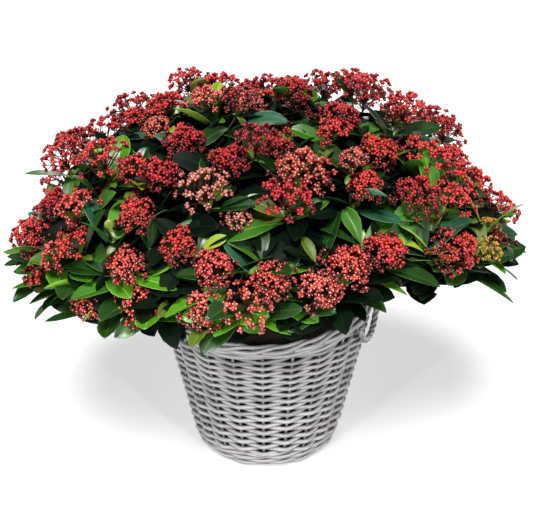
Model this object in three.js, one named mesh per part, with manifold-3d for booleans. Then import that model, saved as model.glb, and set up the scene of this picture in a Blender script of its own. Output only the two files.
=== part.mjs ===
// A flowering skimmia bush growing in a round, grey-washed willow basket with two rope ears.
// Millimetres, +Z up. The origin is the centre of the basket's flat underside, and the basket
// stands on that face. The bush is 24 stems that spread from one short, hidden trunk. Each stem
// ends in a mass of foliage: it forks into shoots above a rosette of inner leaves, and every shoot
// has a spiral of leathery leaves under a dome of flower buds. Separate solids keep a gap of
// 0.3 mm to what carries them.

import * as THREE from "three";
import { mergeVertices } from "three/addons/utils/BufferGeometryUtils.js";
import Module from "manifold-3d";

const wasm = await Module();
wasm.setup();

// Driving dimensions of the basket.
const GAP = 0.3;
const BASKET_HEIGHT = 262;
const FOOT_RADIUS = 116; // outside of the siding, carried down to the floor
const SIDE_SLOPE = 0.215; // growth of the radius for each unit of height
const STAKES = 22;
const RING_SIDES = 36; // sides of the basket's plain rings
const STAKE_RELIEF = 1.2; // how far the siding waves in and out over the stakes
const WEAVE_THICKNESS = 11;
const BASE_THICKNESS = 9;
const FOOT_WALE_TOP = 30;
const FOOT_WALE_PROUD = 2;
const FOOT_ROUNDING = 5; // the foot is rounded under by this much
const SIDING_TOP = 236;
const TOP_WALE_TOP = 247;
const TOP_WALE_PROUD = 1.5;
const BORDER_THICKNESS = 18;
const BORDER_PROUD = 2;
const BORDER_ROUNDING = 4;
const SADDLE_LIFT = 5; // the border rises this much at the ears and dips as much between them
const SADDLE_START = 120; // height where that lift begins
const EAR_TURN = THREE.MathUtils.degToRad(-18); // direction of the first ear, from +X
const EAR_HALF_SPAN = THREE.MathUtils.degToRad(17);
const EAR_DROP = 35;
const EAR_ROD = 5;
const EAR_SEAT = 0.6; // room under the border for the slant of the rope's cut ends
const EAR_CLEARANCE = 0.3; // between the rope and the wale at its ends
const EAR_STAND_OFF = 6; // how much further out the loop hangs than its ends
const LINER_WALL = 1.6;
const LINER_TOP = 236;
const LINER_FOOT_ROUNDING = 3;
const SOIL_TOP = 220;

// Driving dimensions of the bush.
const TRUNK_HEAD = new THREE.Vector3(0, 0, 246); // the point that all stems spread from
const TRUNK_HEAD_RADIUS = 24;
const TRUNK_FOOT_RADIUS = 21;
const TRUNK_SIDES = 18;
const TRUNK_WAIST_RADIUS = 18.5;
const TRUNK_WAIST_HEIGHT = 7; // above the foot
const CROWN_CENTRE = new THREE.Vector3(0, 0, 356);
const CROWN_SIZE = new THREE.Vector3(396, 285, 262); // half width, half depth, half height
// Rings of masses from the skirt up: how many, and how many degrees they rise above the centre.
const RINGS = [
  { count: 11, rise: 13 },
  { count: 8, rise: 40 },
  { count: 4, rise: 66 },
  { count: 1, rise: 88 },
];
const RING_TURN = 0.37; // share of a step that each ring is turned on from the one below
const RING_EVENING = 0.08; // moves masses from the narrow sides to the broad front and back
const SIDE_DROOP = 10; // degrees that the skirt hangs lower at the sides than at the front
const SIDE_LEAN = 3; // degrees of that which move from the right side to the left
const TURN_JITTER = 0.12; // share of a step
const RISE_JITTER = 2.5; // degrees
const REACH_JITTER = 0.035;
const CROWN_LIMIT = 1.08; // no leaf reaches further than this share of the crown's size
const GOLDEN_ANGLE = 137.508; // degrees from one leaf to the next round a shoot
const BOUGH_ROOT_RADIUS = 4;
const BOUGH_TIP_RADIUS = 2.8;
const BOUGH_LIFT = 8;
const BOUGH_SHARE = 0.44; // share of the way to the crown's surface that the bough covers
const FORK_SHARE = 0.65; // share of it where the shoots and the inner leaves part
const SHOOTS = 4; // shoots in a mass
const SHOOT_SPREAD = 56;
const SHOOT_SPREADS = [1, 0.85, 0.7]; // shares of it tried in turn until the head has room
const SHOOT_JITTER = 0.1; // of the spread and of the head's radius
const SHOOT_UPTURN = 0.35; // how much the heads turn up from the crown's own slope
const TWIG_RADIUS = 2.4;
const NECK_LENGTH = 8; // how far a shoot runs on into its head
const HEAD_RADIUS = 36;
const HEAD_FLATNESS = 0.82;
const HEAD_LEAST = 26; // a smaller room than this takes no head
const CORE_RADIUS = 78; // of the dense inner leaves round the fork
const CORE_POINTS = 7;
const CORE_NOTCH = 0.26; // depth of the notches between their points, as a share of the radius
const CORE_HALF_THICKNESS = 9;
const CORE_EDGE = 2; // half the thickness at the rim
const LEAVES = 5; // leaves tried on a shoot
const LEAF_SPACING = 6;
const LEAF_LENGTH = 112;
const LEAF_WIDTH = 46;
const LEAF_THICKNESS = 2;
const LEAF_FOLD = 5;
const LEAF_DROOP = 15;
const LEAF_SIZES = [1, 0.86, 0.72, 0.58]; // tried in turn until the leaf fits its space
const LEAF_OPENINGS = [74, 62, 50]; // degrees between leaf and shoot, tried in turn
const LEAF_JITTER = 0.12; // of its length
const CELL_CLEARANCE = 0.5; // from a foliage mass to the wall of its own space

const UP = new THREE.Vector3(0, 0, 1);
const colours = { willow: 0xc4c2c0, liner: 0x161616, soil: 0x2a1f17, bark: 0x5b4632, foliage: 0x2c5a26 };

// ---- Shared tools -------------------------------------------------------------------------

function material(colour, roughness) {
  return new THREE.MeshStandardMaterial({ color: colour, roughness, metalness: 0 });
}

function part(name, geometry, colour, roughness = 0.7) {
  const mesh = new THREE.Mesh(geometry, material(colour, roughness));
  mesh.name = name;
  return mesh;
}

// A value from 0 to 1 that is always the same for the same pair of numbers.
function chance(n, k) {
  const wave = Math.sin(n * 127.1 + k * 311.7) * 43758.5453;
  return wave - Math.floor(wave);
}

function spread(n, k, amount) {
  return (2 * chance(n, k) - 1) * amount;
}

function changeVertices(geometry, change) {
  const position = geometry.getAttribute("position");
  const point = new THREE.Vector3();
  for (let i = 0; i < position.count; i++) {
    change(point.fromBufferAttribute(position, i));
    position.setXYZ(i, point.x, point.y, point.z);
  }
  return geometry;
}

// Turns a profile of [radius, height] pairs round the Z axis.
function turned(profile, segments) {
  const points = profile.map(([radius, height]) => new THREE.Vector2(radius, height));
  return new THREE.LatheGeometry(points, segments).rotateX(Math.PI / 2);
}

function solidOf(geometry) {
  const loose = geometry.index ? geometry.toNonIndexed() : geometry;
  const bare = new THREE.BufferGeometry().setAttribute("position", loose.getAttribute("position"));
  const merged = mergeVertices(bare, 1e-4);
  const vertProperties = merged.getAttribute("position").array;
  const triVerts = new Uint32Array(merged.index.array);
  return new wasm.Manifold(new wasm.Mesh({ numProp: 3, vertProperties, triVerts }));
}

function geometryOf(solid) {
  const mesh = solid.getMesh();
  const geometry = new THREE.BufferGeometry();
  geometry.setAttribute("position", new THREE.BufferAttribute(mesh.vertProperties, 3));
  geometry.setIndex(new THREE.BufferAttribute(mesh.triVerts, 1));
  return geometry;
}

// ---- Willow basket ------------------------------------------------------------------------

function sideRadius(height) {
  return FOOT_RADIUS + SIDE_SLOPE * height;
}

// The rim is not level: it rises at the two ears and dips between them.
function saddle(geometry) {
  return changeVertices(geometry, (p) => {
    const share = THREE.MathUtils.smoothstep(p.z, SADDLE_START, BASKET_HEIGHT);
    p.z += SADDLE_LIFT * share * Math.cos(2 * (Math.atan2(p.y, p.x) - EAR_TURN));
  });
}

// The siding waves over its stakes, out over one and in behind the next.
function waved(geometry) {
  return changeVertices(geometry, (p) => {
    const scale = 1 + (STAKE_RELIEF / FOOT_RADIUS) * Math.cos(STAKES * Math.atan2(p.y, p.x));
    p.x *= scale;
    p.y *= scale;
  });
}

// A ring of weave between two heights, standing proud of the side by the given amount.
function weaveRing(low, high, thickness, proud, steps, sides) {
  const outside = [];
  for (let i = 0; i <= steps; i++) {
    const height = low + ((high - low) * i) / steps;
    outside.push([sideRadius(height) + proud, height]);
  }
  const inside = outside.map(([radius, height]) => [radius - thickness, height]).reverse();
  return turned([...outside, ...inside, outside[0]], sides);
}

function basketBase() {
  const radius = FOOT_RADIUS - WEAVE_THICKNESS + 1;
  return turned([[0, 0], [radius, 0], [radius + 1, BASE_THICKNESS], [0, BASE_THICKNESS]], RING_SIDES);
}

// The waling at the foot is rounded under, where the stakes turn up from the base.
function footWale() {
  const inner = FOOT_RADIUS - WEAVE_THICKNESS + 2 + GAP;
  const outer = (height) => sideRadius(height) + FOOT_WALE_PROUD;
  const profile = [
    [inner, 0],
    [outer(0) - FOOT_ROUNDING, 0],
    [outer(FOOT_ROUNDING) - 1, FOOT_ROUNDING],
    [outer(FOOT_WALE_TOP), FOOT_WALE_TOP],
    [outer(FOOT_WALE_TOP) - WEAVE_THICKNESS - FOOT_WALE_PROUD, FOOT_WALE_TOP],
    [inner, BASE_THICKNESS],
    [inner, 0],
  ];
  return turned(profile, RING_SIDES);
}

// The rolled border of laid-down stakes: round outside, thicker than the siding.
function border() {
  const low = TOP_WALE_TOP + GAP;
  const middle = (low + BASKET_HEIGHT) / 2;
  const outer = sideRadius(BASKET_HEIGHT) + BORDER_PROUD;
  const inner = outer - BORDER_THICKNESS;
  const profile = [
    [outer - BORDER_ROUNDING + 1, low],
    [outer, middle],
    [outer - BORDER_ROUNDING / 2, BASKET_HEIGHT - BORDER_ROUNDING],
    [(outer + inner) / 2, BASKET_HEIGHT],
    [inner, BASKET_HEIGHT - BORDER_ROUNDING - 1],
    [inner + 1, low],
    [outer - BORDER_ROUNDING + 1, low],
  ];
  return saddle(turned(profile, RING_SIDES));
}

// One ear: a rope of twisted rods in a half-round loop whose ends go up under the border.
function ear(turn) {
  const top = TOP_WALE_TOP - EAR_SEAT;
  const endRadius = sideRadius(top) + TOP_WALE_PROUD + EAR_CLEARANCE + EAR_ROD;
  const at = (along, drop) => {
    const angle = turn + EAR_HALF_SPAN * along;
    const radius = endRadius + EAR_STAND_OFF * Math.min(1, drop / EAR_DROP) - SIDE_SLOPE * drop;
    return new THREE.Vector3(radius * Math.cos(angle), radius * Math.sin(angle), top - drop);
  };
  const steps = 8;
  const points = [at(-1, 0)];
  for (let i = 0; i <= steps; i++) {
    const sweep = (Math.PI * i) / steps;
    points.push(at(-Math.cos(sweep), EAR_SEAT + EAR_DROP * Math.sin(sweep)));
  }
  points.push(at(1, 0));
  const path = new THREE.CatmullRomCurve3(points);
  const section = new THREE.Shape().absarc(0, 0, EAR_ROD, 0, 2 * Math.PI);
  const options = { steps: 13, curveSegments: 3, bevelEnabled: false, extrudePath: path };
  return saddle(new THREE.ExtrudeGeometry(section, options));
}

// The radius of the pot's lining at a height, measured to a face that many gaps inside the weave.
function liningRadius(height, gaps) {
  return sideRadius(height) - WEAVE_THICKNESS - STAKE_RELIEF - 1 - gaps * GAP;
}

function liner() {
  const outer = (height) => liningRadius(height, 2);
  const floor = BASE_THICKNESS + GAP;
  const foot = FOOT_WALE_TOP + 1;
  const profile = [
    [0, floor],
    [outer(floor) - LINER_FOOT_ROUNDING, floor],
    [outer(foot), foot],
    [outer(LINER_TOP), LINER_TOP],
    [outer(LINER_TOP) - LINER_WALL, LINER_TOP],
    [outer(foot) - LINER_WALL, foot],
    [outer(floor) - LINER_FOOT_ROUNDING - LINER_WALL, floor + LINER_WALL],
    [0, floor + LINER_WALL],
  ];
  return saddle(turned(profile, RING_SIDES / 2));
}

function soil() {
  const outer = (height) => liningRadius(height, 4) - LINER_WALL;
  const floor = BASE_THICKNESS + 2 * GAP + LINER_WALL;
  const foot = FOOT_WALE_TOP + 1;
  const profile = [
    [0, floor],
    [outer(floor) - LINER_FOOT_ROUNDING - GAP, floor],
    [outer(foot), foot],
    [outer(SOIL_TOP) - 2 * GAP, SOIL_TOP],
    [0, SOIL_TOP],
  ];
  return turned(profile, RING_SIDES / 2);
}

// ---- Trunk and boughs ---------------------------------------------------------------------

// The short trunk stands on the soil with a flat cut, flares at the foot and swells to a head.
function trunk() {
  const foot = SOIL_TOP + GAP;
  const profile = [[0, foot], [TRUNK_FOOT_RADIUS, foot], [TRUNK_WAIST_RADIUS, foot + TRUNK_WAIST_HEIGHT]];
  const rises = [-18, -4, 10, 24, 38, 54, 72].map(THREE.MathUtils.degToRad);
  for (const rise of rises) {
    profile.push([
      TRUNK_HEAD_RADIUS * Math.cos(rise),
      TRUNK_HEAD.z + TRUNK_HEAD_RADIUS * Math.sin(rise),
    ]);
  }
  profile.push([0, TRUNK_HEAD.z + TRUNK_HEAD_RADIUS]);
  return turned(profile, TRUNK_SIDES);
}

// A point on the crown's surface: an ellipsoid round the crown's centre, grown by reach.
function onCrown(unit, reach) {
  return unit.clone().multiply(CROWN_SIZE).multiplyScalar(reach).add(CROWN_CENTRE);
}

// The tips of all masses, ring by ring. The skirt hangs lower at the sides, most at the left.
function massTips() {
  const tips = [];
  RINGS.forEach(({ count, rise }, ring) => {
    for (let k = 0; k < count; k++) {
      const key = tips.length;
      const even = ((k + ring * RING_TURN + spread(key, 8, TURN_JITTER)) / count) * 2 * Math.PI;
      const turn = even + RING_EVENING * Math.sin(2 * even);
      const droop = Math.cos(turn) ** 2 * (SIDE_DROOP - SIDE_LEAN * Math.cos(turn));
      const lift = rise - droop * (1 - rise / 90) + spread(key, 9, RISE_JITTER);
      const angle = THREE.MathUtils.degToRad(lift);
      const unit = new THREE.Vector3(Math.cos(turn), Math.sin(turn), 0).multiplyScalar(Math.cos(angle));
      unit.z = Math.sin(angle);
      tips.push(onCrown(unit, 1 + spread(key, 1, REACH_JITTER)));
    }
  });
  return tips;
}

// A tapering limb of n sides between two points, with an upward bow that is level at both ends.
function limb(from, to, rootRadius, tipRadius, sides, steps, lift) {
  const axis = to.clone().sub(from);
  const length = axis.length();
  axis.normalize();
  const upward = UP.clone().addScaledVector(axis, -UP.dot(axis)).normalize();
  const turn = new THREE.Quaternion().setFromUnitVectors(new THREE.Vector3(0, 1, 0), axis);
  const stick = new THREE.CylinderGeometry(tipRadius, rootRadius, length, sides, steps);
  return changeVertices(stick, (p) => {
    const along = p.y / length + 0.5;
    p.y = along * length;
    p.applyQuaternion(turn).add(from);
    p.addScaledVector(upward, lift * Math.sin(Math.PI * along) ** 2);
  });
}

// ---- Foliage masses -----------------------------------------------------------------------

// A thin leaf: eight faces, pointed at both ends, folded up along its midrib and drooping.
function leaf(from, along, face, length) {
  const side = face.clone().cross(along).normalize();
  const normal = along.clone().cross(side);
  return changeVertices(new THREE.OctahedronGeometry(1, 0), (p) => {
    const share = (p.x + 1) / 2;
    const across = (p.y * LEAF_WIDTH * length) / (2 * LEAF_LENGTH);
    const rise = (p.z * LEAF_THICKNESS) / 2 + LEAF_FOLD * Math.abs(p.y) - LEAF_DROOP * share * share;
    p.copy(from).addScaledVector(along, share * length);
    p.addScaledVector(side, across).addScaledVector(normal, rise);
  });
}

// A dome of flower buds on the end of a shoot.
function head(centre, axis, radius) {
  const turn = new THREE.Quaternion().setFromUnitVectors(UP, axis);
  return changeVertices(new THREE.IcosahedronGeometry(radius, 0), (p) => {
    p.z *= HEAD_FLATNESS;
    p.applyQuaternion(turn).add(centre);
  });
}

function vertices(geometry) {
  const position = geometry.getAttribute("position");
  const indices = Array.from({ length: position.count }, (_, i) => i);
  return indices.map((i) => new THREE.Vector3().fromBufferAttribute(position, i));
}

const tips = massTips();
const axes = tips.map((tip) => tip.clone().sub(TRUNK_HEAD).normalize());

// The space of a mass is the cone of points nearer to its axis than to any other. These are the
// directions square to the walls of that cone, all of which pass through the trunk's head.
const walls = axes.map((axis) =>
  axes.filter((other) => other !== axis).map((other) => axis.clone().sub(other).normalize()),
);

// The distance from a point to the nearest wall of mass i, negative outside its space.
function room(i, point) {
  const arm = point.clone().sub(TRUNK_HEAD);
  return Math.min(...walls[i].map((wall) => arm.dot(wall)));
}

// True if the points keep to the space of mass i, beyond its foot and within the crown.
function inOwnSpace(i, foot, points) {
  return points.every((p) => {
    const beyondFoot = p.clone().sub(TRUNK_HEAD).dot(axes[i]) > foot;
    const reach = p.clone().sub(CROWN_CENTRE).divide(CROWN_SIZE).length();
    return beyondFoot && reach < CROWN_LIMIT && room(i, p) > CELL_CLEARANCE;
  });
}

// True if the points all lie above the basket's rim or all lie outside it, on the mass's side.
function clearOfBasket(i, points) {
  const outward = new THREE.Vector3(axes[i].x, axes[i].y, 0).normalize();
  const above = points.every((p) => p.z > BASKET_HEIGHT + SADDLE_LIFT + 2);
  return above || points.every((p) => p.dot(outward) > sideRadius(BASKET_HEIGHT) + EAR_STAND_OFF + 8);
}

// Shoot j of mass i: the end of its head, the way that it faces, its radius and its random key.
function shoot(i, j) {
  const key = 10 * i + j;
  const turn = ((j + 0.5 * chance(key, 2)) * 2 * Math.PI) / SHOOTS + i;
  const sideways = new THREE.Vector3().crossVectors(UP, axes[i]).normalize();
  const upward = new THREE.Vector3().crossVectors(axes[i], sideways);
  for (const share of SHOOT_SPREADS) {
    const offset = SHOOT_SPREAD * share * (1 + spread(key, 3, SHOOT_JITTER));
    const aim = tips[i].clone().addScaledVector(sideways, offset * Math.cos(turn));
    aim.addScaledVector(upward, offset * Math.sin(turn));
    const unit = aim.sub(CROWN_CENTRE).divide(CROWN_SIZE).normalize();
    const facing = unit.clone().divide(CROWN_SIZE).normalize();
    facing.add(axes[i]).addScaledVector(UP, SHOOT_UPTURN).normalize();
    const end = onCrown(unit, 1 + spread(key, 4, REACH_JITTER));
    const wanted = HEAD_RADIUS * (1 + spread(key, 5, SHOOT_JITTER));
    const centre = end.clone().addScaledVector(facing, -wanted * HEAD_FLATNESS);
    const radius = Math.min(wanted, room(i, centre) - CELL_CLEARANCE);
    if (radius > HEAD_LEAST) return { end, facing, radius, key };
  }
  return null;
}

// The part of a convex outline that lies inside one wall, far enough in for a thick edge.
function clipped(outline, wall) {
  const inside = (p) => p.clone().sub(TRUNK_HEAD).dot(wall) - CELL_CLEARANCE - CORE_EDGE;
  return outline.flatMap((p, k) => {
    const next = outline[(k + 1) % outline.length];
    const here = inside(p);
    const there = inside(next);
    const kept = here > 0 ? [p] : [];
    if (here > 0 !== there > 0) kept.push(p.clone().lerp(next, here / (here - there)));
    return kept;
  });
}

// The dense inner leaves: a flat pointed rosette round the fork, square to the mass's axis.
function core(i, fork) {
  const sideways = new THREE.Vector3().crossVectors(UP, axes[i]).normalize();
  let outline = Array.from({ length: CORE_POINTS }, (_, k) => {
    const spoke = sideways.clone().applyAxisAngle(axes[i], ((k + 0.5) * 2 * Math.PI) / CORE_POINTS);
    return fork.clone().addScaledVector(spoke, CORE_RADIUS);
  });
  for (const wall of walls[i]) outline = clipped(outline, wall);
  outline = outline.flatMap((p, k) => {
    const middle = p.clone().lerp(outline[(k + 1) % outline.length], 0.5);
    return [p, middle.lerp(fork, CORE_NOTCH)];
  });
  const n = outline.length;
  const raised = (p, rise) => p.clone().addScaledVector(axes[i], rise).toArray();
  const points = [
    ...outline.map((p) => raised(p, CORE_EDGE)),
    ...outline.map((p) => raised(p, -CORE_EDGE)),
    raised(fork, CORE_HALF_THICKNESS),
    raised(fork, -CORE_HALF_THICKNESS),
  ];
  const faces = outline.flatMap((_, k) => {
    const next = (k + 1) % n;
    return [k, next, 2 * n, n + next, n + k, 2 * n + 1, k, n + k, next, next, n + k, n + next];
  });
  const rosette = new THREE.BufferGeometry();
  rosette.setAttribute("position", new THREE.Float32BufferAttribute(points.flat(), 3));
  rosette.setIndex(faces);
  return rosette;
}

function mass(i) {
  const reach = tips[i].distanceTo(TRUNK_HEAD);
  const foot = BOUGH_SHARE * reach;
  const fits = (piece) =>
    inOwnSpace(i, foot + GAP / 3, vertices(piece)) && clearOfBasket(i, vertices(piece));
  const start = TRUNK_HEAD.clone().addScaledVector(axes[i], foot + GAP / 2);
  const fork = TRUNK_HEAD.clone().addScaledVector(axes[i], FORK_SHARE * reach);
  let whole = solidOf(limb(start, fork, BOUGH_TIP_RADIUS, TWIG_RADIUS, 4, 1, 0));
  const rosette = core(i, fork);
  if (fits(rosette)) whole = whole.add(solidOf(rosette));
  for (let j = 0; j < SHOOTS; j++) {
    const found = shoot(i, j);
    if (!found) continue;
    const { end, facing, radius, key } = found;
    const centre = end.clone().addScaledVector(facing, -radius * HEAD_FLATNESS);
    const collar = centre.clone().addScaledVector(facing, -radius * HEAD_FLATNESS);
    const neck = collar.addScaledVector(facing, NECK_LENGTH);
    const twig = limb(fork, neck, TWIG_RADIUS, TWIG_RADIUS, 3, 1, 0);
    const dome = head(centre, facing, radius);
    if (!fits(twig) || !fits(dome)) continue;
    whole = addLeaves(whole.add(solidOf(twig)).add(solidOf(dome)), fits, fork, neck, key);
  }
  const pieces = whole.decompose().sort((a, b) => b.volume() - a.volume());
  return pieces[0]; // a scrap that lost its twig is dropped
}

// The largest leaf that fits, in the widest opening, or nothing.
function fittingLeaf(whole, fits, from, stem, around, lengthShare) {
  const face = stem.clone().add(UP).normalize();
  for (const opening of LEAF_OPENINGS) {
    const open = THREE.MathUtils.degToRad(opening);
    const along = stem.clone().multiplyScalar(Math.cos(open)).addScaledVector(around, Math.sin(open));
    const beyondTwig = from.clone().addScaledVector(along, 4 * TWIG_RADIUS);
    for (const size of LEAF_SIZES) {
      const length = LEAF_LENGTH * size * lengthShare;
      const blade = leaf(from, along, face, length);
      if (!fits(blade)) continue;
      if (whole.intersect(solidOf(leaf(beyondTwig, along, face, length))).isEmpty()) return blade;
    }
  }
  return null;
}

// Leaves stand round the shoot in a spiral, just below its head.
function addLeaves(whole, fits, fork, neck, key) {
  const stem = neck.clone().sub(fork).normalize();
  const level = Math.abs(stem.z) > 0.9 ? new THREE.Vector3(1, 0, 0) : UP;
  const sideways = new THREE.Vector3().crossVectors(stem, level).normalize();
  for (let k = 0; k < LEAVES; k++) {
    const turn = key + THREE.MathUtils.degToRad(k * GOLDEN_ANGLE);
    const around = sideways.clone().applyAxisAngle(stem, turn);
    const from = neck.clone().addScaledVector(stem, -NECK_LENGTH - 2 - LEAF_SPACING * k);
    const blade = fittingLeaf(whole, fits, from, stem, around, 1 + spread(key + 5 * k, 7, LEAF_JITTER));
    if (blade) whole = whole.add(solidOf(blade));
  }
  return whole;
}

// ---- Assembly -----------------------------------------------------------------------------

const plant = new THREE.Group();
plant.name = "skimmia_in_basket";

const siding = weaveRing(FOOT_WALE_TOP + GAP, SIDING_TOP, WEAVE_THICKNESS, 0, 2, 2 * STAKES);
const waleThickness = WEAVE_THICKNESS + 2 * TOP_WALE_PROUD;
const topWale = weaveRing(
  SIDING_TOP + GAP, TOP_WALE_TOP, waleThickness, TOP_WALE_PROUD, 1, RING_SIDES,
);
const basket = new THREE.Group();
basket.add(
  part("basket_base", basketBase(), colours.willow),
  part("basket_foot_wale", footWale(), colours.willow),
  part("basket_siding", saddle(waved(siding)), colours.willow),
  part("basket_top_wale", saddle(topWale), colours.willow),
  part("basket_border", border(), colours.willow),
  part("basket_ear_right", ear(EAR_TURN), colours.willow),
  part("basket_ear_left", ear(EAR_TURN + Math.PI), colours.willow),
  part("pot_liner", liner(), colours.liner, 0.5),
  part("soil", soil(), colours.soil, 0.95),
);
plant.add(basket);

const bush = new THREE.Group();
bush.add(part("trunk", trunk(), colours.bark, 0.9));
for (let i = 0; i < tips.length; i++) {
  const number = String(i + 1).padStart(2, "0");
  const length = BOUGH_SHARE * tips[i].distanceTo(TRUNK_HEAD);
  const root = TRUNK_HEAD.clone().addScaledVector(axes[i], TRUNK_HEAD_RADIUS + GAP);
  const tip = TRUNK_HEAD.clone().addScaledVector(axes[i], length - GAP / 2);
  const bough = limb(root, tip, BOUGH_ROOT_RADIUS, BOUGH_TIP_RADIUS, 5, 3, BOUGH_LIFT);
  bush.add(part(`bough_${number}`, bough, colours.bark, 0.9));
  bush.add(part(`foliage_${number}`, geometryOf(mass(i)), colours.foliage, 0.45));
}
plant.add(bush);

export default plant;
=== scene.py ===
"""A flowering skimmia bush in a round, grey-washed willow basket with two rope ears.

The file follows the pot and the plant as they are put together: the basket is woven from the
foot to the border, lined and filled, and the bush is grown from its trunk to its flower buds.
"""

import math

import bpy
import numpy as np
from mathutils import Matrix, Vector, noise


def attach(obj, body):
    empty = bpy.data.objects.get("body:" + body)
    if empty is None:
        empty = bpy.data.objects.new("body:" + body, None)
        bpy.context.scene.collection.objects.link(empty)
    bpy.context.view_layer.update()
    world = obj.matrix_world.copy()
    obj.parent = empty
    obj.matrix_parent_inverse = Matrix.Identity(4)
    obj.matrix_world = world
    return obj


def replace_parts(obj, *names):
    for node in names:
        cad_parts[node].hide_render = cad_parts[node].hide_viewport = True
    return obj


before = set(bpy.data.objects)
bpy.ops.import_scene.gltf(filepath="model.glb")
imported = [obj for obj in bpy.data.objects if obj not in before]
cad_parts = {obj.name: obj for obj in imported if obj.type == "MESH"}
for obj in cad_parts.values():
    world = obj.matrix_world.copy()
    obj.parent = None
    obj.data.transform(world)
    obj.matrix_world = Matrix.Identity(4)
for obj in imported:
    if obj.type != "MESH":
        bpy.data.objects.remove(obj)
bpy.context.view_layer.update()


# ---- Viewpoint ----------------------------------------------------------------------------------
# A standing person looks down onto the bush from a little over one and a half metres, through a
# long lens that keeps the basket's sides true.

VIEW_TARGET = Vector((0.0, 0.0, 0.329))
VIEW_DISTANCE = 1.72
VIEW_DOWN = math.radians(25.9)
VIEW_LENS = 72.95  # in mm, as is the width of the sensor
VIEW_SENSOR = 36.0
VIEW_DEPTH = 150.0

camera = bpy.data.objects.new("viewpoint", bpy.data.cameras.new("viewpoint"))
bpy.context.scene.collection.objects.link(camera)
bpy.context.scene.camera = camera
camera.data.sensor_width = VIEW_SENSOR
camera.data.lens = VIEW_LENS
camera.data.clip_end = VIEW_DEPTH
camera.location = VIEW_TARGET + VIEW_DISTANCE * Vector((0, -math.cos(VIEW_DOWN), math.sin(VIEW_DOWN)))
camera.rotation_euler = (math.pi / 2 - VIEW_DOWN, 0, 0)


# ---- Studio floor and light ---------------------------------------------------------------------
# A wide, pale floor that glows a little, as a light table does. A broad soft light falls from high
# in front, weak boxes stand at the sides and behind, and two soft spots in front light the basket.

FLOOR_SIZE = 100.0
FLOOR_DROP = 0.0005  # it lies this much under the basket's foot
FLOOR_GLOW = 0.5
WALL_LIGHT = 0.02
SKYLIGHT_PLACE = (-0.15, -1.1, 2.3)  # the way that the broad light comes from
SKYLIGHT_SPREAD = math.radians(22)
SKYLIGHT_STRENGTH = 4.5
SIDE_BOX_PLACES = [(-1.7, -1.4, 0.8), (1.7, -1.4, 0.8)]
SIDE_BOX_SIZE = 0.8
SIDE_BOX_POWER = 8.0
BACK_BOX_PLACE = (0.0, 2.1, 1.3)
BACK_BOX_SIZE = 1.4
BACK_BOX_POWER = 26.0
SPOT_PLACES = [(-1.15, -1.9, 1.15), (1.15, -1.9, 1.15)]
SPOT_TARGET = Vector((0.0, 0.0, 0.10))
SPOT_OPENING = math.radians(11)
SPOT_RADIUS = 0.16
SPOT_POWER = 170.0


def feed(tree, slot, value):
    """Gives an input of a node its value, or links it to what makes the value."""
    if isinstance(value, Field):
        value = value.socket
    if isinstance(value, bpy.types.NodeSocket):
        tree.links.new(value, slot)
    else:
        slot.default_value = value


def add_node(tree, kind, inputs=(), **settings):
    made = tree.nodes.new(kind)
    for name, value in settings.items():
        setattr(made, name, value)
    for slot, value in dict(inputs).items():
        feed(tree, made.inputs[slot], value)
    return made


class Field:
    """A number that varies over a piece, so that sums in a node tree read as sums."""

    def __init__(self, tree, socket):
        self.tree = tree
        self.socket = socket

    def reckon(self, operation, *others):
        made = self.tree.nodes.new("ShaderNodeMath")
        made.operation = operation
        for slot, value in zip(made.inputs, (self, *others)):
            feed(self.tree, slot, value)
        return Field(self.tree, made.outputs[0])

    def __add__(self, other):
        return self.reckon("ADD", other)

    def __sub__(self, other):
        return self.reckon("SUBTRACT", other)

    def __mul__(self, other):
        return self.reckon("MULTIPLY", other)

    def __truediv__(self, other):
        return self.reckon("DIVIDE", other)

    def cosine(self):
        return self.reckon("COSINE")

    def sine(self):
        return self.reckon("SINE")

    def rise(self, low, high):
        """0 below low, 1 above high, and a smooth step between them."""
        made = add_node(self.tree, "ShaderNodeMapRange", interpolation_type="SMOOTHSTEP")
        for slot, value in zip(made.inputs, (self, low, high)):
            feed(self.tree, slot, value)
        return Field(self.tree, made.outputs["Result"])


def tone(code):
    """A paint colour written as six hex digits, as linear light."""
    parts = [int(code[i : i + 2], 16) / 255 for i in (0, 2, 4)]
    return tuple(p / 12.92 if p < 0.04045 else ((p + 0.055) / 1.055) ** 2.4 for p in parts) + (1.0,)


def new_finish(name, **sockets):
    """A material of one shader with its constant values set, and the place that its patterns follow."""
    material = bpy.data.materials.new(name)
    material.use_nodes = True
    shader = material.node_tree.nodes["Principled BSDF"]
    for label, value in sockets.items():
        shader.inputs[label.replace("_", " ")].default_value = value
    tree = material.node_tree
    return material, tree, shader, add_node(tree, "ShaderNodeTexCoord").outputs["Object"]


def mottling(tree, place, scale, detail=2.0):
    """A soft pattern of spots, as numbers from 0 to 1."""
    made = add_node(tree, "ShaderNodeTexNoise", {"Vector": place, "Scale": scale, "Detail": detail})
    return Field(tree, made.outputs["Fac"])


def add_relief(tree, shader, height, strength, distance):
    sizes = {"Height": height, "Strength": strength, "Distance": distance}
    feed(tree, shader.inputs["Normal"], add_node(tree, "ShaderNodeBump", sizes).outputs["Normal"])


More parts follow.
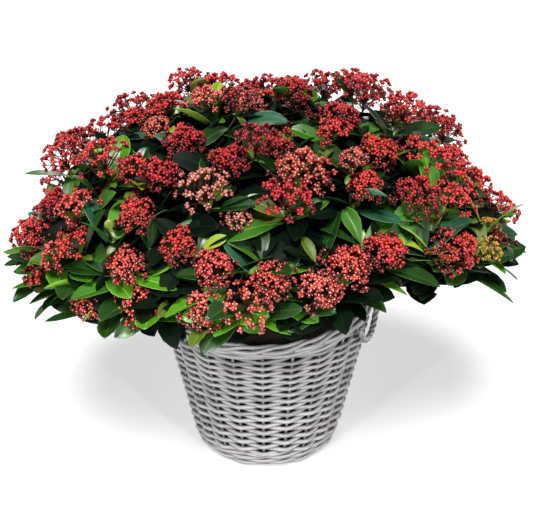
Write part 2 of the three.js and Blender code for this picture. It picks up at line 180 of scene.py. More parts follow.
floor_paint, floor_tree, floor_shader, floor_place = new_finish(
    "pale_floor",
    Base_Color=tone("b8b8b8"),
    Roughness=0.9,
    Emission_Color=(1, 1, 1, 1),
    Emission_Strength=FLOOR_GLOW,
)
add_relief(floor_tree, floor_shader, mottling(floor_tree, floor_place, 400.0), 0.05, 0.001)
floor_mesh = bpy.data.meshes.new("floor")
half = FLOOR_SIZE / 2
floor_corners = [(-half, -half, 0), (half, -half, 0), (half, half, 0), (-half, half, 0)]
floor_mesh.from_pydata(floor_corners, [], [(0, 1, 2, 3)])
floor_mesh.materials.append(floor_paint)
floor = bpy.data.objects.new("floor", floor_mesh)
bpy.context.scene.collection.objects.link(floor)
floor.location.z = -FLOOR_DROP

walls = bpy.data.worlds.new("studio_walls")
walls.use_nodes = True
walls.node_tree.nodes["Background"].inputs["Color"].default_value = (1, 1, 1, 1)
walls.node_tree.nodes["Background"].inputs["Strength"].default_value = WALL_LIGHT
bpy.context.scene.world = walls
bpy.context.scene.view_settings.view_transform = "Standard"


def hung_lamp(name, kind, place, energy, target=VIEW_TARGET):
    """A lamp at a place, turned towards its target."""
    lamp = bpy.data.lights.new(name, kind)
    lamp.energy = energy
    holder = bpy.data.objects.new(name, lamp)
    bpy.context.scene.collection.objects.link(holder)
    holder.location = place
    holder.rotation_euler = (target - Vector(place)).to_track_quat("-Z", "Y").to_euler()
    return lamp


hung_lamp("skylight", "SUN", SKYLIGHT_PLACE, SKYLIGHT_STRENGTH).angle = SKYLIGHT_SPREAD
hung_lamp("back_box", "AREA", BACK_BOX_PLACE, BACK_BOX_POWER).size = BACK_BOX_SIZE
for side, box_place, spot_place in zip(("left", "right"), SIDE_BOX_PLACES, SPOT_PLACES):
    hung_lamp(f"{side}_box", "AREA", box_place, SIDE_BOX_POWER).size = SIDE_BOX_SIZE
    spot = hung_lamp(f"{side}_spot", "SPOT", spot_place, SPOT_POWER, SPOT_TARGET)
    spot.spot_size = SPOT_OPENING
    spot.spot_blend = 1.0
    spot.shadow_soft_size = SPOT_RADIUS


# ---- Willow and the wall of the basket ----------------------------------------------------------
# Peeled willow rods, washed with a thin grey lime paint that leaves the grain showing and the rods
# a little pinker or greener from one to the next. One rod at a time is woven round 22 upright
# stakes, in front of one and behind the next.

FOOT_RADIUS = 0.116
SIDE_SLOPE = 0.215
STAKES = 22
FIRST_STAKE = math.radians(-92.2)
EAR_TURN = math.radians(-18)
SADDLE_LIFT = 0.005  # the rim rises this much at the ears and dips as much between them
SADDLE_START = 0.12
BASKET_HEIGHT = 0.262
SIDING = {
    "Rods": 29,
    "Points": 177,
    "Turns": 1.0,
    "Waves": STAKES / 2,
    "Phase step": math.pi,
    "First height": 0.0318,
    "Height step": 0.00824,
    "Closing": 0.000037,  # how much closer each round lies than the one below
    "Thinning": 1.0,
    "Pitch": 0.0,
    "Swing": 0.0060,
    "Sway": 0.0,
    "Inset": 0.0052,
    "Half depth": 0.0031,
    "Half height": 0.0035,
    "Unevenness": 0.0009,
    "Tuck": 0.0,
}


# The tones of the rods from one to the next. Painted shade darkens the rods where they face down, and a
# little where they face straight up.
WILLOW_TONES = [(0.0, "858384"), (0.3, "9b999b"), (0.55, "b0afb0"), (0.8, "9b9b9c"), (1.0, "aba7a8")]
WILLOW_PAINTED_SHADE = [(0.0, "747270"), (0.26, "b4b2b0"), (0.46, "f4f4f4"), (0.82, "ffffff"), (1.0, "d0cecc")]
GRAIN_ALONG = 9.0  # how fine the grain is along the rods and across them
GRAIN_ACROSS = 700.0
DIRT_SCALE = 38.0
DIRT_SHARE = 0.6


def add_ramp(tree, value, stops):
    ramp = add_node(tree, "ShaderNodeValToRGB", {"Fac": value})
    elements = ramp.color_ramp.elements
    while len(elements) < len(stops):
        elements.new(0.5)
    for element, (position, code) in zip(elements, stops):
        element.position = position
        element.color = tone(code)
    return ramp.outputs["Color"]


def willow_finish():
    material, tree, shader, place = new_finish(
        "grey_willow", Roughness=0.55, Coat_Weight=0.08, Coat_Roughness=0.45
    )
    parts = add_node(tree, "ShaderNodeSeparateXYZ", {"Vector": place}).outputs
    x, y, z = (Field(tree, parts[axis]) for axis in "XYZ")
    radius = (x * x + y * y).reckon("SQRT")
    turn = y.reckon("ARCTAN2", x)
    unrolled = {"X": turn * GRAIN_ALONG, "Y": z * GRAIN_ACROSS, "Z": radius * GRAIN_ACROSS}
    grain = mottling(tree, add_node(tree, "ShaderNodeCombineXYZ", unrolled).outputs[0], 1.0, 5.0)
    dirt = mottling(tree, place, DIRT_SCALE, 4.0)
    rod = Field(tree, add_node(tree, "ShaderNodeAttribute", attribute_name="rod").outputs["Fac"])
    wash = add_ramp(tree, rod + (grain - 0.5) + (dirt - 0.5) * DIRT_SHARE, WILLOW_TONES)
    # Painted shade: the wash is darkened by the way each face of a rod points, most on the undersides.
    facing = add_node(tree, "ShaderNodeNewGeometry").outputs["Normal"]
    upward = Field(tree, add_node(tree, "ShaderNodeSeparateXYZ", {"Vector": facing}).outputs["Z"])
    painted_shade = add_ramp(tree, upward * 0.5 + 0.5, WILLOW_PAINTED_SHADE)
    shaded_wash = add_node(
        tree,
        "ShaderNodeMix",
        {0: 1.0, 6: wash, 7: painted_shade},
        data_type="RGBA",
        blend_type="MULTIPLY",
    )
    feed(tree, shader.inputs["Base Color"], shaded_wash.outputs[2])
    add_relief(tree, shader, grain, 0.5, 0.0006)
    return material


willow = willow_finish()


ROD_SIDES = 8
ROD_SEED = 3
WANDER_STEP = 1.7  # how differently two neighbouring rods wander
BEND_SQUARENESS = 0.12  # the rods lie a little flat on each stake, and cross over between
TUCK_HEIGHT = 0.026


class Weaving:
    """A node tree that lays copies of one rod: an input for each size, and fields along the rods."""

    def __init__(self, name, sizes):
        self.tree = bpy.data.node_groups.new(name, "GeometryNodeTree")
        self.tree.interface.new_socket("Geometry", in_out="OUTPUT", socket_type="NodeSocketGeometry")
        for label, value in sizes.items():
            kind = "NodeSocketInt" if isinstance(value, int) else "NodeSocketFloat"
            self.tree.interface.new_socket(label, in_out="INPUT", socket_type=kind).default_value = value
        self.tree.interface.new_socket("Willow", in_out="INPUT", socket_type="NodeSocketMaterial")
        self.entrance = self.tree.nodes.new("NodeGroupInput")
        line = self.add("GeometryNodeCurvePrimitiveLine")
        fine = self.add("GeometryNodeResampleCurve", {"Curve": line, "Count": self.size("Points")})
        copying = {"Geometry": fine, "Amount": self.size("Rods")}
        copies = add_node(self.tree, "GeometryNodeDuplicateElements", copying, domain="SPLINE")
        self.number = Field(self.tree, copies.outputs["Duplicate Index"])
        self.share = Field(self.tree, add_node(self.tree, "GeometryNodeSplineParameter").outputs["Factor"])
        dealt = add_node(self.tree, "FunctionNodeRandomValue", {"ID": self.number, "Seed": ROD_SEED})
        tinting = {"Geometry": copies.outputs["Geometry"], "Name": "rod", "Value": dealt.outputs[1]}
        self.rods = self.add("GeometryNodeStoreNamedAttribute", tinting, domain="CURVE")

    def add(self, kind, inputs=(), **settings):
        """The first output of a new node."""
        return add_node(self.tree, kind, inputs, **settings).outputs[0]

    def size(self, label):
        return Field(self.tree, self.entrance.outputs[label])

    def wander(self, turn, key):
        """Up to the unevenness to either side, different on each rod, and slowly changing along it."""
        corner = {"X": turn.cosine(), "Y": turn.sine(), "Z": self.number * WANDER_STEP + key}
        place = self.add("ShaderNodeCombineXYZ", corner)
        return (mottling(self.tree, place, 4.0, 1.0) - 0.5) * 4.0 * self.size("Unevenness")

    def lay(self, turn, radius, height, thickness=1.0):
        """Lays the rods on their paths round the basket and gives them their thickness and finish."""
        lift = (turn - EAR_TURN) * 2.0
        saddled = height + lift.cosine() * height.rise(SADDLE_START, BASKET_HEIGHT) * SADDLE_LIFT
        corner = {"X": radius * turn.cosine(), "Y": radius * turn.sine(), "Z": saddled}
        path = self.add("ShaderNodeCombineXYZ", corner)
        laid = self.add("GeometryNodeSetPosition", {"Geometry": self.rods, "Position": path})
        upright = self.add("GeometryNodeSetCurveNormal", {"Curve": laid}, mode="Z_UP")
        ring = self.add("GeometryNodeCurvePrimitiveCircle", {"Resolution": ROD_SIDES, "Radius": 1.0})
        halves = {"X": self.size("Half depth"), "Y": self.size("Half height"), "Z": 1.0}
        oval = self.add("ShaderNodeCombineXYZ", halves)
        section = self.add("GeometryNodeTransform", {"Geometry": ring, "Scale": oval})
        tube = self.add(
            "GeometryNodeCurveToMesh",
            {"Curve": upright, "Profile Curve": section, "Scale": thickness, "Fill Caps": True},
        )
        smooth = self.add("GeometryNodeSetShadeSmooth", {"Geometry": tube})
        real = self.add("GeometryNodeRealizeInstances", {"Geometry": smooth})
        painting = {"Geometry": real, "Material": self.entrance.outputs["Willow"]}
        painted = self.add("GeometryNodeSetMaterial", painting)
        feed(self.tree, self.tree.nodes.new("NodeGroupOutput").inputs[0], painted)
        return self.tree


def weaver_tree():
    """Rods woven round the stakes in closed rounds or in a rising spiral."""
    weaving = Weaving("woven_rods", SIDING)
    size, share, number = weaving.size, weaving.share, weaving.number
    turn = share * size("Turns") * (2 * math.pi) + (FIRST_STAKE + math.pi)
    phase = (turn - FIRST_STAKE) * size("Waves") + number * size("Phase step")
    wave = (phase.cosine() + (phase * 3.0).cosine() * BEND_SQUARENESS) / (1 + BEND_SQUARENESS)
    step_up = size("Height step") - number * size("Closing")
    rows_up = number * step_up + share * size("Turns") * size("Pitch")
    bob = weaving.wander(turn, 40.0) * 0.6
    height = size("First height") + rows_up + phase.sine() * size("Sway") + bob
    tucked = height.rise(TUCK_HEIGHT, 0.0) * size("Tuck")
    wall = height * SIDE_SLOPE + FOOT_RADIUS - size("Inset") - tucked
    radius = wall + wave * size("Swing") + weaving.wander(turn, 0.0) * 0.5
    thickness = (height * -1.0 + BASKET_HEIGHT / 2) * size("Thinning") + 1.0
    return weaving.lay(turn, radius, height, thickness)


def woven(name, tree, sizes, *nodes):
    """Sets the tree's inputs, turns its result into a plain mesh, and puts it in the basket."""
    piece = bpy.data.objects.new(name, bpy.data.meshes.new(name))
    bpy.context.scene.collection.objects.link(piece)
    weaving = piece.modifiers.new("weaving", "NODES")
    weaving.node_group = tree
    for socket in tree.interface.items_tree:
        if socket.in_out == "INPUT":
            weaving[socket.identifier] = willow if socket.name == "Willow" else sizes[socket.name]
    bpy.context.view_layer.update()
    seen = piece.evaluated_get(bpy.context.evaluated_depsgraph_get())
    mesh = bpy.data.meshes.new_from_object(seen)
    piece.modifiers.remove(weaving)
    piece.data = mesh
    mesh.name = name
    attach(piece, "root")
    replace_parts(piece, *nodes)


weaver = weaver_tree()
woven("siding_rods", weaver, SIDING, "basket_siding")


# ---- Base ---------------------------------------------------------------------------------------
# The flat round bottom of the basket, of the same washed willow. The stakes are driven into its
# edge, and it carries the soil and stands flat on the floor.


def refinish(node, finish):
    """Gives a part whose shape stays as it is a finish that shows what it is made of."""
    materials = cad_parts[node].data.materials
    materials.clear()
    materials.append(finish)


refinish("basket_base", willow)


# ---- Waling -------------------------------------------------------------------------------------
# Three rods that take turns, each in front of two stakes and behind the third, hold the stakes
# apart at the foot and under the border. At the foot they are tucked under the basket's edge.

WALE_BASE = {**SIDING, "Rods": 1, "Waves": STAKES / 3, "Phase step": 0.0, "Thinning": 0.0}
FOOT_WALE = {
    **WALE_BASE,
    "Points": 700,
    "Turns": 6.0,
    "First height": 0.0043,
    "Pitch": 0.0043,
    "Swing": 0.0034,
    "Sway": 0.0012,
    "Inset": 0.0035,
    "Half depth": 0.0027,
    "Half height": 0.0031,
    "Tuck": 0.0028,
}
TOP_WALE = {
    **WALE_BASE,
    "Points": 350,
    "Turns": 3.0,
    "First height": 0.2385,
    "Pitch": 0.0036,
    "Swing": 0.0034,
    "Sway": 0.0012,
    "Inset": 0.0045,
    "Half depth": 0.0030,
    "Half height": 0.0033,
}
woven("foot_waling", weaver, FOOT_WALE, "basket_foot_wale")
woven("top_waling", weaver, TOP_WALE, "basket_top_wale")


# ---- Stakes -------------------------------------------------------------------------------------
# Slightly flattened upright willow stakes, driven into the base between the weaver's bends, that
# run up inside the wall to the border.

STAKE_SIZES = {
    "Rods": STAKES,
    "Points": 24,
    "Low end": 0.006,
    "High end": 0.252,
    "Inset": 0.0053,
    "Half depth": 0.0020,
    "Half height": 0.0019,
}


def stake_tree():
    weaving = Weaving("upright_stakes", STAKE_SIZES)
    size = weaving.size
    turn = weaving.number / size("Rods") * (2 * math.pi) + FIRST_STAKE
    height = size("Low end") + weaving.share * (size("High end") - size("Low end"))
    return weaving.lay(turn, height * SIDE_SLOPE + FOOT_RADIUS - size("Inset"), height)


woven("upright_stakes", stake_tree(), STAKE_SIZES, "basket_siding")


# ---- Border -------------------------------------------------------------------------------------
# The tops of the stakes, bent down one after the other: each lies along the rim over three of its
# neighbours, from the inner edge over the top to the outside, where its round butt is cut off.

BORDER_SIZES = {
    "Rods": STAKES,
    "Points": 30,
    "Span": 3.15 * 2 * math.pi / STAKES,
    "Outer radius": 0.1738,
    "Butt height": 0.2530,
    "Crown rise": 0.0068,
    "Half depth": 0.0035,
    "Half height": 0.0034,
    "Unevenness": 0.0008,
}


# Where on its way each laid rod steps inward, and by how much, where it climbs, and where it dips.
INWARD_STEPS = [(0.22, 0.5, 0.0048), (0.5, 0.76, 0.0050), (0.74, 0.96, 0.0020)]
CLIMB = (0.18, 0.46)
LAST_DIP = (0.72, 1.0, 0.0120)


def border_tree():
    weaving = Weaving("laid_border", BORDER_SIZES)
    size, share = weaving.size, weaving.share
    turn = weaving.number / size("Rods") * (2 * math.pi) + FIRST_STAKE + share * size("Span")
    wander = weaving.wander(turn, 80.0)
    first, second, third = (share.rise(start, end) * step for start, end, step in INWARD_STEPS)
    radius = size("Outer radius") - size("Half depth") - (first + second + third) + wander
    dip = share.rise(*LAST_DIP[:2]) * LAST_DIP[2]
    height = size("Butt height") + share.rise(*CLIMB) * size("Crown rise") - dip + wander * 0.5
    return weaving.lay(turn, radius, height)


woven("laid_border", border_tree(), BORDER_SIZES, "basket_border")


# ---- Rope ears ----------------------------------------------------------------------------------
# On each side a half-round loop of three thin rods twisted into a rope, with both of its ends
# pushed up under the border.

EAR_SIZES = {
    "Rods": 3,
    "Points": 90,
    "Ear": EAR_TURN,
    "Half span": math.radians(17),
    "Top": 0.2464,
    "Drop": 0.0355,
    "End radius": 0.17580,
    "Stand off": 0.006,
    "Twists": 3.6,
    "Lay": 0.0027,
    "Half depth": 0.0027,
    "Half height": 0.0027,
}


EAR_BEND = 0.012  # the loop stands off the wall from this far below its ends


def ear_tree():
    weaving = Weaving("rope_ear", EAR_SIZES)
    size, share = weaving.size, weaving.share
    sweep = share * math.pi
    down = sweep.sine() * size("Drop")
    twist = share * size("Twists") * (2 * math.pi) + weaving.number * (2 * math.pi / 3)
    outward = twist.sine() * size("Lay")
    across = sweep.cosine() * -1.0
    turn = size("Ear") + across * (size("Half span") + outward / size("End radius"))
    drop = down + outward * sweep.sine()
    stand = down.rise(0.0, EAR_BEND) * size("Stand off") - drop * SIDE_SLOPE + twist.cosine() * size("Lay")
    return weaving.lay(turn, size("End radius") + stand, size("Top") - drop)


ears = ear_tree()
woven("rope_ear_right", ears, EAR_SIZES, "basket_ear_right")
woven("rope_ear_left", ears, {**EAR_SIZES, "Ear": EAR_TURN + math.pi}, "basket_ear_left")


# ---- Lining and soil ----------------------------------------------------------------------------
# A thin black plastic film, slightly creased, lines the basket. It keeps the dark, crumbly potting
# soil in and the wet off the willow.

CREASE_SCALE = 60.0
CREASE_STRENGTH = 0.12
SOIL_TOP = 0.2200
SOIL_FLOOR = 0.0112
SOIL_RADIUS_TOP = 0.1456
SOIL_RADIUS_FLOOR = 0.0990
SOIL_RINGS = 34
SOIL_SPOKES = 96
CRUMB = 0.0016  # the height of the crumbs, and how many coarse and fine ones lie in a metre
COARSE_CRUMBS = 90
FINE_CRUMBS = 240

film, film_tree, film_shader, film_place = new_finish(
    "black_film", Base_Color=tone("0a0a0a"), Roughness=0.6, Specular_IOR_Level=0.3
)
creases = mottling(film_tree, film_place, CREASE_SCALE, 5.0)
add_relief(film_tree, film_shader, creases, CREASE_STRENGTH, 0.002)
refinish("pot_liner", film)

soil_finish, soil_tree, soil_shader, soil_place = new_finish("potting_soil", Roughness=0.95)
crumbs = mottling(soil_tree, soil_place, 260.0, 6.0)
soil_tones = add_ramp(soil_tree, crumbs, [(0.35, "120d09"), (0.75, "40301f")])
feed(soil_tree, soil_shader.inputs["Base Color"], soil_tones)
add_relief(soil_tree, soil_shader, crumbs, 0.8, 0.002)


def joined(name, points, faces, finishes, numbers=None):
    """One smooth mesh of many like pieces. Faces are lists of corners, and numbers their finishes."""
    mesh = bpy.data.meshes.new(name)
    mesh.vertices.add(len(points))
    mesh.vertices.foreach_set("co", np.asarray(points, np.float32).ravel())
    corners = np.concatenate([np.asarray(group).ravel() for group in faces])
    counts = np.concatenate([np.full(len(group), np.shape(group)[1]) for group in faces])
    starts = np.concatenate([[0], np.cumsum(counts)[:-1]])
    numbers = np.zeros(len(counts)) if numbers is None else np.concatenate(numbers)
    mesh.loops.add(len(corners))
    mesh.loops.foreach_set("vertex_index", corners.astype(np.int32))
    mesh.polygons.add(len(counts))
    mesh.polygons.foreach_set("loop_start", starts.astype(np.int32))
    mesh.polygons.foreach_set("material_index", numbers.astype(np.int32))
    mesh.update(calc_edges=True)
    mesh.shade_smooth()
    for finish in finishes:
        mesh.materials.append(finish)
    piece = bpy.data.objects.new(name, mesh)
    bpy.context.scene.collection.objects.link(piece)
    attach(piece, "root")
    return piece


def soil_piece():
    spokes = np.arange(SOIL_SPOKES) * 2 * math.pi / SOIL_SPOKES
    profile = [(SOIL_RADIUS_TOP * (k + 1) / SOIL_RINGS, SOIL_TOP) for k in range(SOIL_RINGS)]
    profile.append((SOIL_RADIUS_FLOOR, SOIL_FLOOR))
    points = []
    for k, (radius, height) in enumerate(profile):
        for spoke in spokes:
            p = Vector((radius * math.cos(spoke), radius * math.sin(spoke), height))
            if k < SOIL_RINGS - 1:
                p.z += CRUMB * (noise.noise(p * COARSE_CRUMBS) + 0.7 * noise.noise(p * FINE_CRUMBS))
            points.append(p)
    points += [Vector((0, 0, SOIL_TOP)), Vector((0, 0, SOIL_FLOOR))]
    top, bottom = len(points) - 2, len(points) - 1
    here = np.arange(SOIL_SPOKES)
    after = (here + 1) % SOIL_SPOKES
    quads = []
    for inner in range(0, (len(profile) - 1) * SOIL_SPOKES, SOIL_SPOKES):
        outer = inner + SOIL_SPOKES
        quads.append(np.stack([inner + here, outer + here, outer + after, inner + after], 1))
    caps = [
        np.stack([np.full(SOIL_SPOKES, top), here, after], 1),
        np.stack([np.full(SOIL_SPOKES, bottom), outer + after, outer + here], 1),
    ]
    faces = [np.concatenate(quads), np.concatenate(caps)]
    piece = joined("potting_soil", points, faces, [soil_finish])
    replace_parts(piece, "soil")


soil_piece()


# ---- The rule of growth -------------------------------------------------------------------------
# 24 stems spread from the head of one short trunk to the surface of the crown, ring by ring. Each
# forks into shoots that turn up and outward, and each shoot ends in a head of buds.

TRUNK_HEAD = Vector((0, 0, 0.246))
TRUNK_HEAD_RADIUS = 0.024
CROWN_CENTRE = Vector((0, 0, 0.356))
CROWN_SIZE = Vector((0.396, 0.285, 0.262))
RINGS = [(11, 13.0), (8, 40.0), (4, 66.0), (1, 88.0)]  # how many, and their rise in degrees
RING_TURN = 0.37
RING_EVENING = 0.08
SIDE_DROOP = 10.0
SIDE_LEAN = 3.0
TURN_JITTER = 0.12
RISE_JITTER = 2.5
REACH_JITTER = 0.035
CROWN_LIMIT = 1.05
BOUGH_ROOT_RADIUS = 0.0040
BOUGH_TIP_RADIUS = 0.0028
BOUGH_LIFT = 0.008
BOUGH_SHARE = 0.44
FORK_SHARE = 0.65
SHOOTS = 4
SHOOT_SPREAD = 0.056
SHOOT_SPREADS = (1, 0.85, 0.7)
SHOOT_JITTER = 0.1
SHOOT_UPTURN = 0.35
HEAD_RADIUS = 0.036
HEAD_FLATNESS = 0.82
HEAD_LEAST = 0.026
CELL_CLEARANCE = 0.0005
UP = Vector((0, 0, 1))


def chance(n, k):
    """A value from 0 to 1 that is always the same for the same pair of numbers."""
    wave = math.sin(n * 127.1 + k * 311.7) * 43758.5453
    return wave - math.floor(wave)


def spread(n, k, amount):
    return (2 * chance(n, k) - 1) * amount


def scaled(a, b):
    return Vector((a.x * b.x, a.y * b.y, a.z * b.z))


def shrunk(a, b):
    return Vector((a.x / b.x, a.y / b.y, a.z / b.z))


def on_crown(unit, reach):
    return scaled(unit, CROWN_SIZE) * reach + CROWN_CENTRE


def mass_tips():
    tips = []
    for ring, (count, rise) in enumerate(RINGS):
        for k in range(count):
            key = len(tips)
            even = (k + ring * RING_TURN + spread(key, 8, TURN_JITTER)) / count * 2 * math.pi
            turn = even + RING_EVENING * math.sin(2 * even)
            droop = math.cos(turn) ** 2 * (SIDE_DROOP - SIDE_LEAN * math.cos(turn))
            lift = math.radians(rise - droop * (1 - rise / 90) + spread(key, 9, RISE_JITTER))
            unit = Vector((math.cos(turn) * math.cos(lift), math.sin(turn) * math.cos(lift), math.sin(lift)))
            tips.append(on_crown(unit, 1 + spread(key, 1, REACH_JITTER)))
    return tips


tips = mass_tips()
axes = [(tip - TRUNK_HEAD).normalized() for tip in tips]
walls_of = [[(axis - other).normalized() for other in axes if other is not axis] for axis in axes]


def room(i, point):
    """The distance from a point to the nearest wall of the space of mass i."""
    return min((point - TRUNK_HEAD).dot(wall) for wall in walls_of[i])


def shoot_of(i, j):
    """Shoot j of mass i: the end of its head, the way that it faces, its radius and its key."""
    key = 10 * i + j
    turn = (j + 0.5 * chance(key, 2)) * 2 * math.pi / SHOOTS + i
    sideways = UP.cross(axes[i]).normalized()
    upward = axes[i].cross(sideways)
    for share in SHOOT_SPREADS:
        offset = SHOOT_SPREAD * share * (1 + spread(key, 3, SHOOT_JITTER))
        aim = tips[i] + offset * (sideways * math.cos(turn) + upward * math.sin(turn))
        unit = shrunk(aim - CROWN_CENTRE, CROWN_SIZE).normalized()
        facing = (shrunk(unit, CROWN_SIZE).normalized() + axes[i] + SHOOT_UPTURN * UP).normalized()
        end = on_crown(unit, 1 + spread(key, 4, REACH_JITTER))
        wanted = HEAD_RADIUS * (1 + spread(key, 5, SHOOT_JITTER))
        centre = end - facing * wanted * HEAD_FLATNESS
        radius = min(wanted, room(i, centre) - CELL_CLEARANCE)
        if radius > HEAD_LEAST:
            return end, facing, radius, key
    return None


# ---- Trunk, boughs and twigs --------------------------------------------------------------------
# A short trunk swells to a round head, from which the boughs spread to the twigs under the heads of
# buds. Their bark is brown and furrowed, and that of the twigs is smoother and greener.

TRUNK_PROFILE = [(0.0205, 0.2203), (0.0215, 0.2215), (0.0188, 0.2272), (0.0192, 0.2330)]
TRUNK_SIDES = 28
BARK_RELIEF = 0.0011
FURROW_STRETCH = (1.0, 1.0, 0.35)
FURROWS = Vector((160, 160, 45))  # how fine they are round the trunk and up it
COARSE_BARK = 130  # the same for the bark of the boughs and twigs
FINE_BARK = 300
BOUGH_SOCKET = 0.004  # how deep a bough starts in the trunk's head
BOUGH_COLLAR = 0.0012
STEM_RADII = (0.0027, 0.0024)  # of the stem that goes on from a bough to its fork
TWIG_RADIUS = 0.0022
SIDE_TWIG_RADII = (0.0017, 0.0014)
LOW_BRANCH_RADII = (0.0026, 0.0014)
HEAD_TURN_UP = 0.9  # how strongly a head turns to the light, against the way that its shoot leads
LEAF_TURN_UP = 0.8
HEAD_SINK = 0.022  # how far a head may stand back from the crown's surface
SIDE_SHOOTS = 3
SIDE_SHOOT_START = 0.45  # share of the way up a shoot where its first side shoot leaves it
SIDE_SHOOT_STEP = 0.18
SIDE_SHOOT_LENGTH = 0.058
SIDE_SHOOT_OPENING = math.radians(50)
SIDE_HEAD_RADIUS = 0.026
SIDE_REACH = 0.98  # no side shoot's head stands further out than this share of the crown's size
LOW_SHRINK = 0.15  # how much smaller than the top ones the lower heads may be
FLOWERING = (0.5, 0.95)  # share of the side shoots that end in buds, low down and on top
HEADS_APART = 0.78  # how close two heads may stand, in their radii, and how much closer on top
CLOSER_ON_TOP = 0.12
LEAVES_APART = 0.62  # the same for shoots without heads
LEAF_HEM = 0.275  # the height of the lowest leaf tips: least at the left, most at the front right
HEM_SWAY = 0.020
HEM_LEAN = 0.012
HEM_LIFT = 0.084
HEM_LIFT_TURN = math.radians(-48)
HEM_LIFT_WIDTH = math.radians(29)
# The dips in the top of the crown: where they lie along x, and how wide and deep they are. The last
# one is a rise.
CROWN_DIPS = [(0.02, 0.05, 0.034), (-0.13, 0.035, 0.024), (0.31, 0.05, 0.050), (0.18, 0.04, -0.022)]
LOW_BRANCH_ENDS = (Vector((0.016, -0.002, 0.252)), Vector((0.335, -0.02, 0.313)))
OPEN_FRONT = 0.32  # share of the heads that are open, in front
OPEN_BACK = 0.7
HEAD_FULLNESS = 1.07  # of the closed heads, against their share of the space between the others
OPEN_RISE = 0.018  # how much higher than the domes the open heads stand
HEAD_HEM = 0.058  # the middles of the lowest heads stand this far above the lowest tips
RIM_TOP = 0.270
RIM_RADIUS = 0.186
# Where over the crown a change starts, in height, in depth or out to the sides, and the distance
# over which it comes about.
SMALLER_BELOW = (0.53, -0.08)
MORE_HEADS_ABOVE = (0.42, 0.1)
DIPS_ABOVE = (0.36, 0.12)
DIPS_BEHIND = (-0.12, 0.12)
OPEN_BEHIND = (-0.12, 0.2)
OPEN_BESIDE = (0.24, 0.1)


def ramp(value, start, width):
    """0 before the start, 1 from a width past it, and even in between."""
    return max(0.0, min(1.0, (value - start) / width))


def bark_finish(name, dark, light, scale):
    material, tree, shader, place = new_finish(name, Roughness=0.8)
    drawn_out = add_node(tree, "ShaderNodeMapping", {"Vector": place, "Scale": FURROW_STRETCH})
    furrows = mottling(tree, drawn_out.outputs[0], scale, 5.0)
    feed(tree, shader.inputs["Base Color"], add_ramp(tree, furrows, [(0.3, dark), (0.75, light)]))
    add_relief(tree, shader, furrows, 0.6, 0.0012)
    return material


old_bark = bark_finish("old_bark", "2e2118", "7a6048", 260.0)
young_bark = bark_finish("young_bark", "2e2a16", "5f5230", 420.0)


class Wood:
    """Limbs gathered to be joined into one mesh."""

    def __init__(self):
        self.points = []
        self.quads = []
        self.triangles = []

    def add_rings(self, rings, start, end):
        sides = len(rings[0])
        first = len(self.points)
        for ring in rings:
            self.points.extend(ring)
        for r in range(len(rings) - 1):
            for s in range(sides):
                a = first + r * sides + s
                b = first + r * sides + (s + 1) % sides
                self.quads.append((a, b, b + sides, a + sides))
        last = first + (len(rings) - 1) * sides
        self.points.extend([start, end])
        for s in range(sides):
            t = (s + 1) % sides
            self.triangles.append((len(self.points) - 2, first + t, first + s))
            self.triangles.append((len(self.points) - 1, last + s, last + t))

    def add_limb(self, path, radii, sides, relief=0.0):
        rings = []
        across = (path[-1] - path[0]).orthogonal().normalized()
        for k, (centre, radius) in enumerate(zip(path, radii)):
            along = (path[min(k + 1, len(path) - 1)] - path[max(k - 1, 0)]).normalized()
            across = (across - along * across.dot(along)).normalized()
            other = along.cross(across)
            ring = []
            for s in range(sides):
                angle = 2 * math.pi * s / sides
                out = across * math.cos(angle) + other * math.sin(angle)
                p = centre + out * radius
                fine = out * 0.5 * relief * noise.noise(p * FINE_BARK)
                ring.append(p + out * relief * noise.noise(p * COARSE_BARK) + fine)
            rings.append(ring)
        self.add_rings(rings, path[0], path[-1])

    def joined(self, name, finish, *nodes):
        faces = [np.array(self.quads), np.array(self.triangles)]
        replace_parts(joined(name, self.points, faces, [finish]), *nodes)


def bent(start, end, steps, lift, away=UP):
    """A path from start to end that bows by lift, level at both ends."""
    axis = (end - start).normalized()
    bow = (away - axis * away.dot(axis)).normalized()
    shares = [k / steps for k in range(steps + 1)]
    return [start.lerp(end, t) + bow * lift * math.sin(math.pi * t) ** 2 for t in shares]


def opens(place, key):
    """True if the head at a place is an open one: most are at the back and the sides, few in front."""
    hidden = max(ramp(place.y, *OPEN_BEHIND), ramp(abs(place.x), *OPEN_BESIDE))
    return chance(key, 155) < OPEN_FRONT + (OPEN_BACK - OPEN_FRONT) * hidden


class Shoot:
    """A shoot from where it starts to the collar of its head, and the way that its head stands."""

    def __init__(self, start, collar, facing, radius, key, main, flowers):
        self.start = start
        self.collar = collar
        self.facing = facing
        self.radius = radius
        self.key = key
        self.main = main
        self.flowers = flowers
        self.stem = (collar - start).normalized()
        self.rise = (self.stem + LEAF_TURN_UP * UP).normalized()
        self.middle = collar + facing * radius * HEAD_FLATNESS
        self.open = opens(self.middle, key)


def hem_at(place):
    """The height of the lowest leaf tips on the side where a place lies."""
    turn = math.atan2(place.y, place.x)
    lift = HEM_LIFT * math.exp(-(((turn - HEM_LIFT_TURN) / HEM_LIFT_WIDTH) ** 2))
    return LEAF_HEM - HEM_SWAY * math.sin(turn) + HEM_LEAN * math.cos(turn) + lift


def dip_at(place):
    """How much lower a head stands than on an even crown. Heads low down or in front don't."""
    dips = (depth * math.exp(-(((place.x - x) / width) ** 2)) for x, width, depth in CROWN_DIPS)
    return ramp(place.z, *DIPS_ABOVE) * ramp(place.y, *DIPS_BEHIND) * sum(dips)


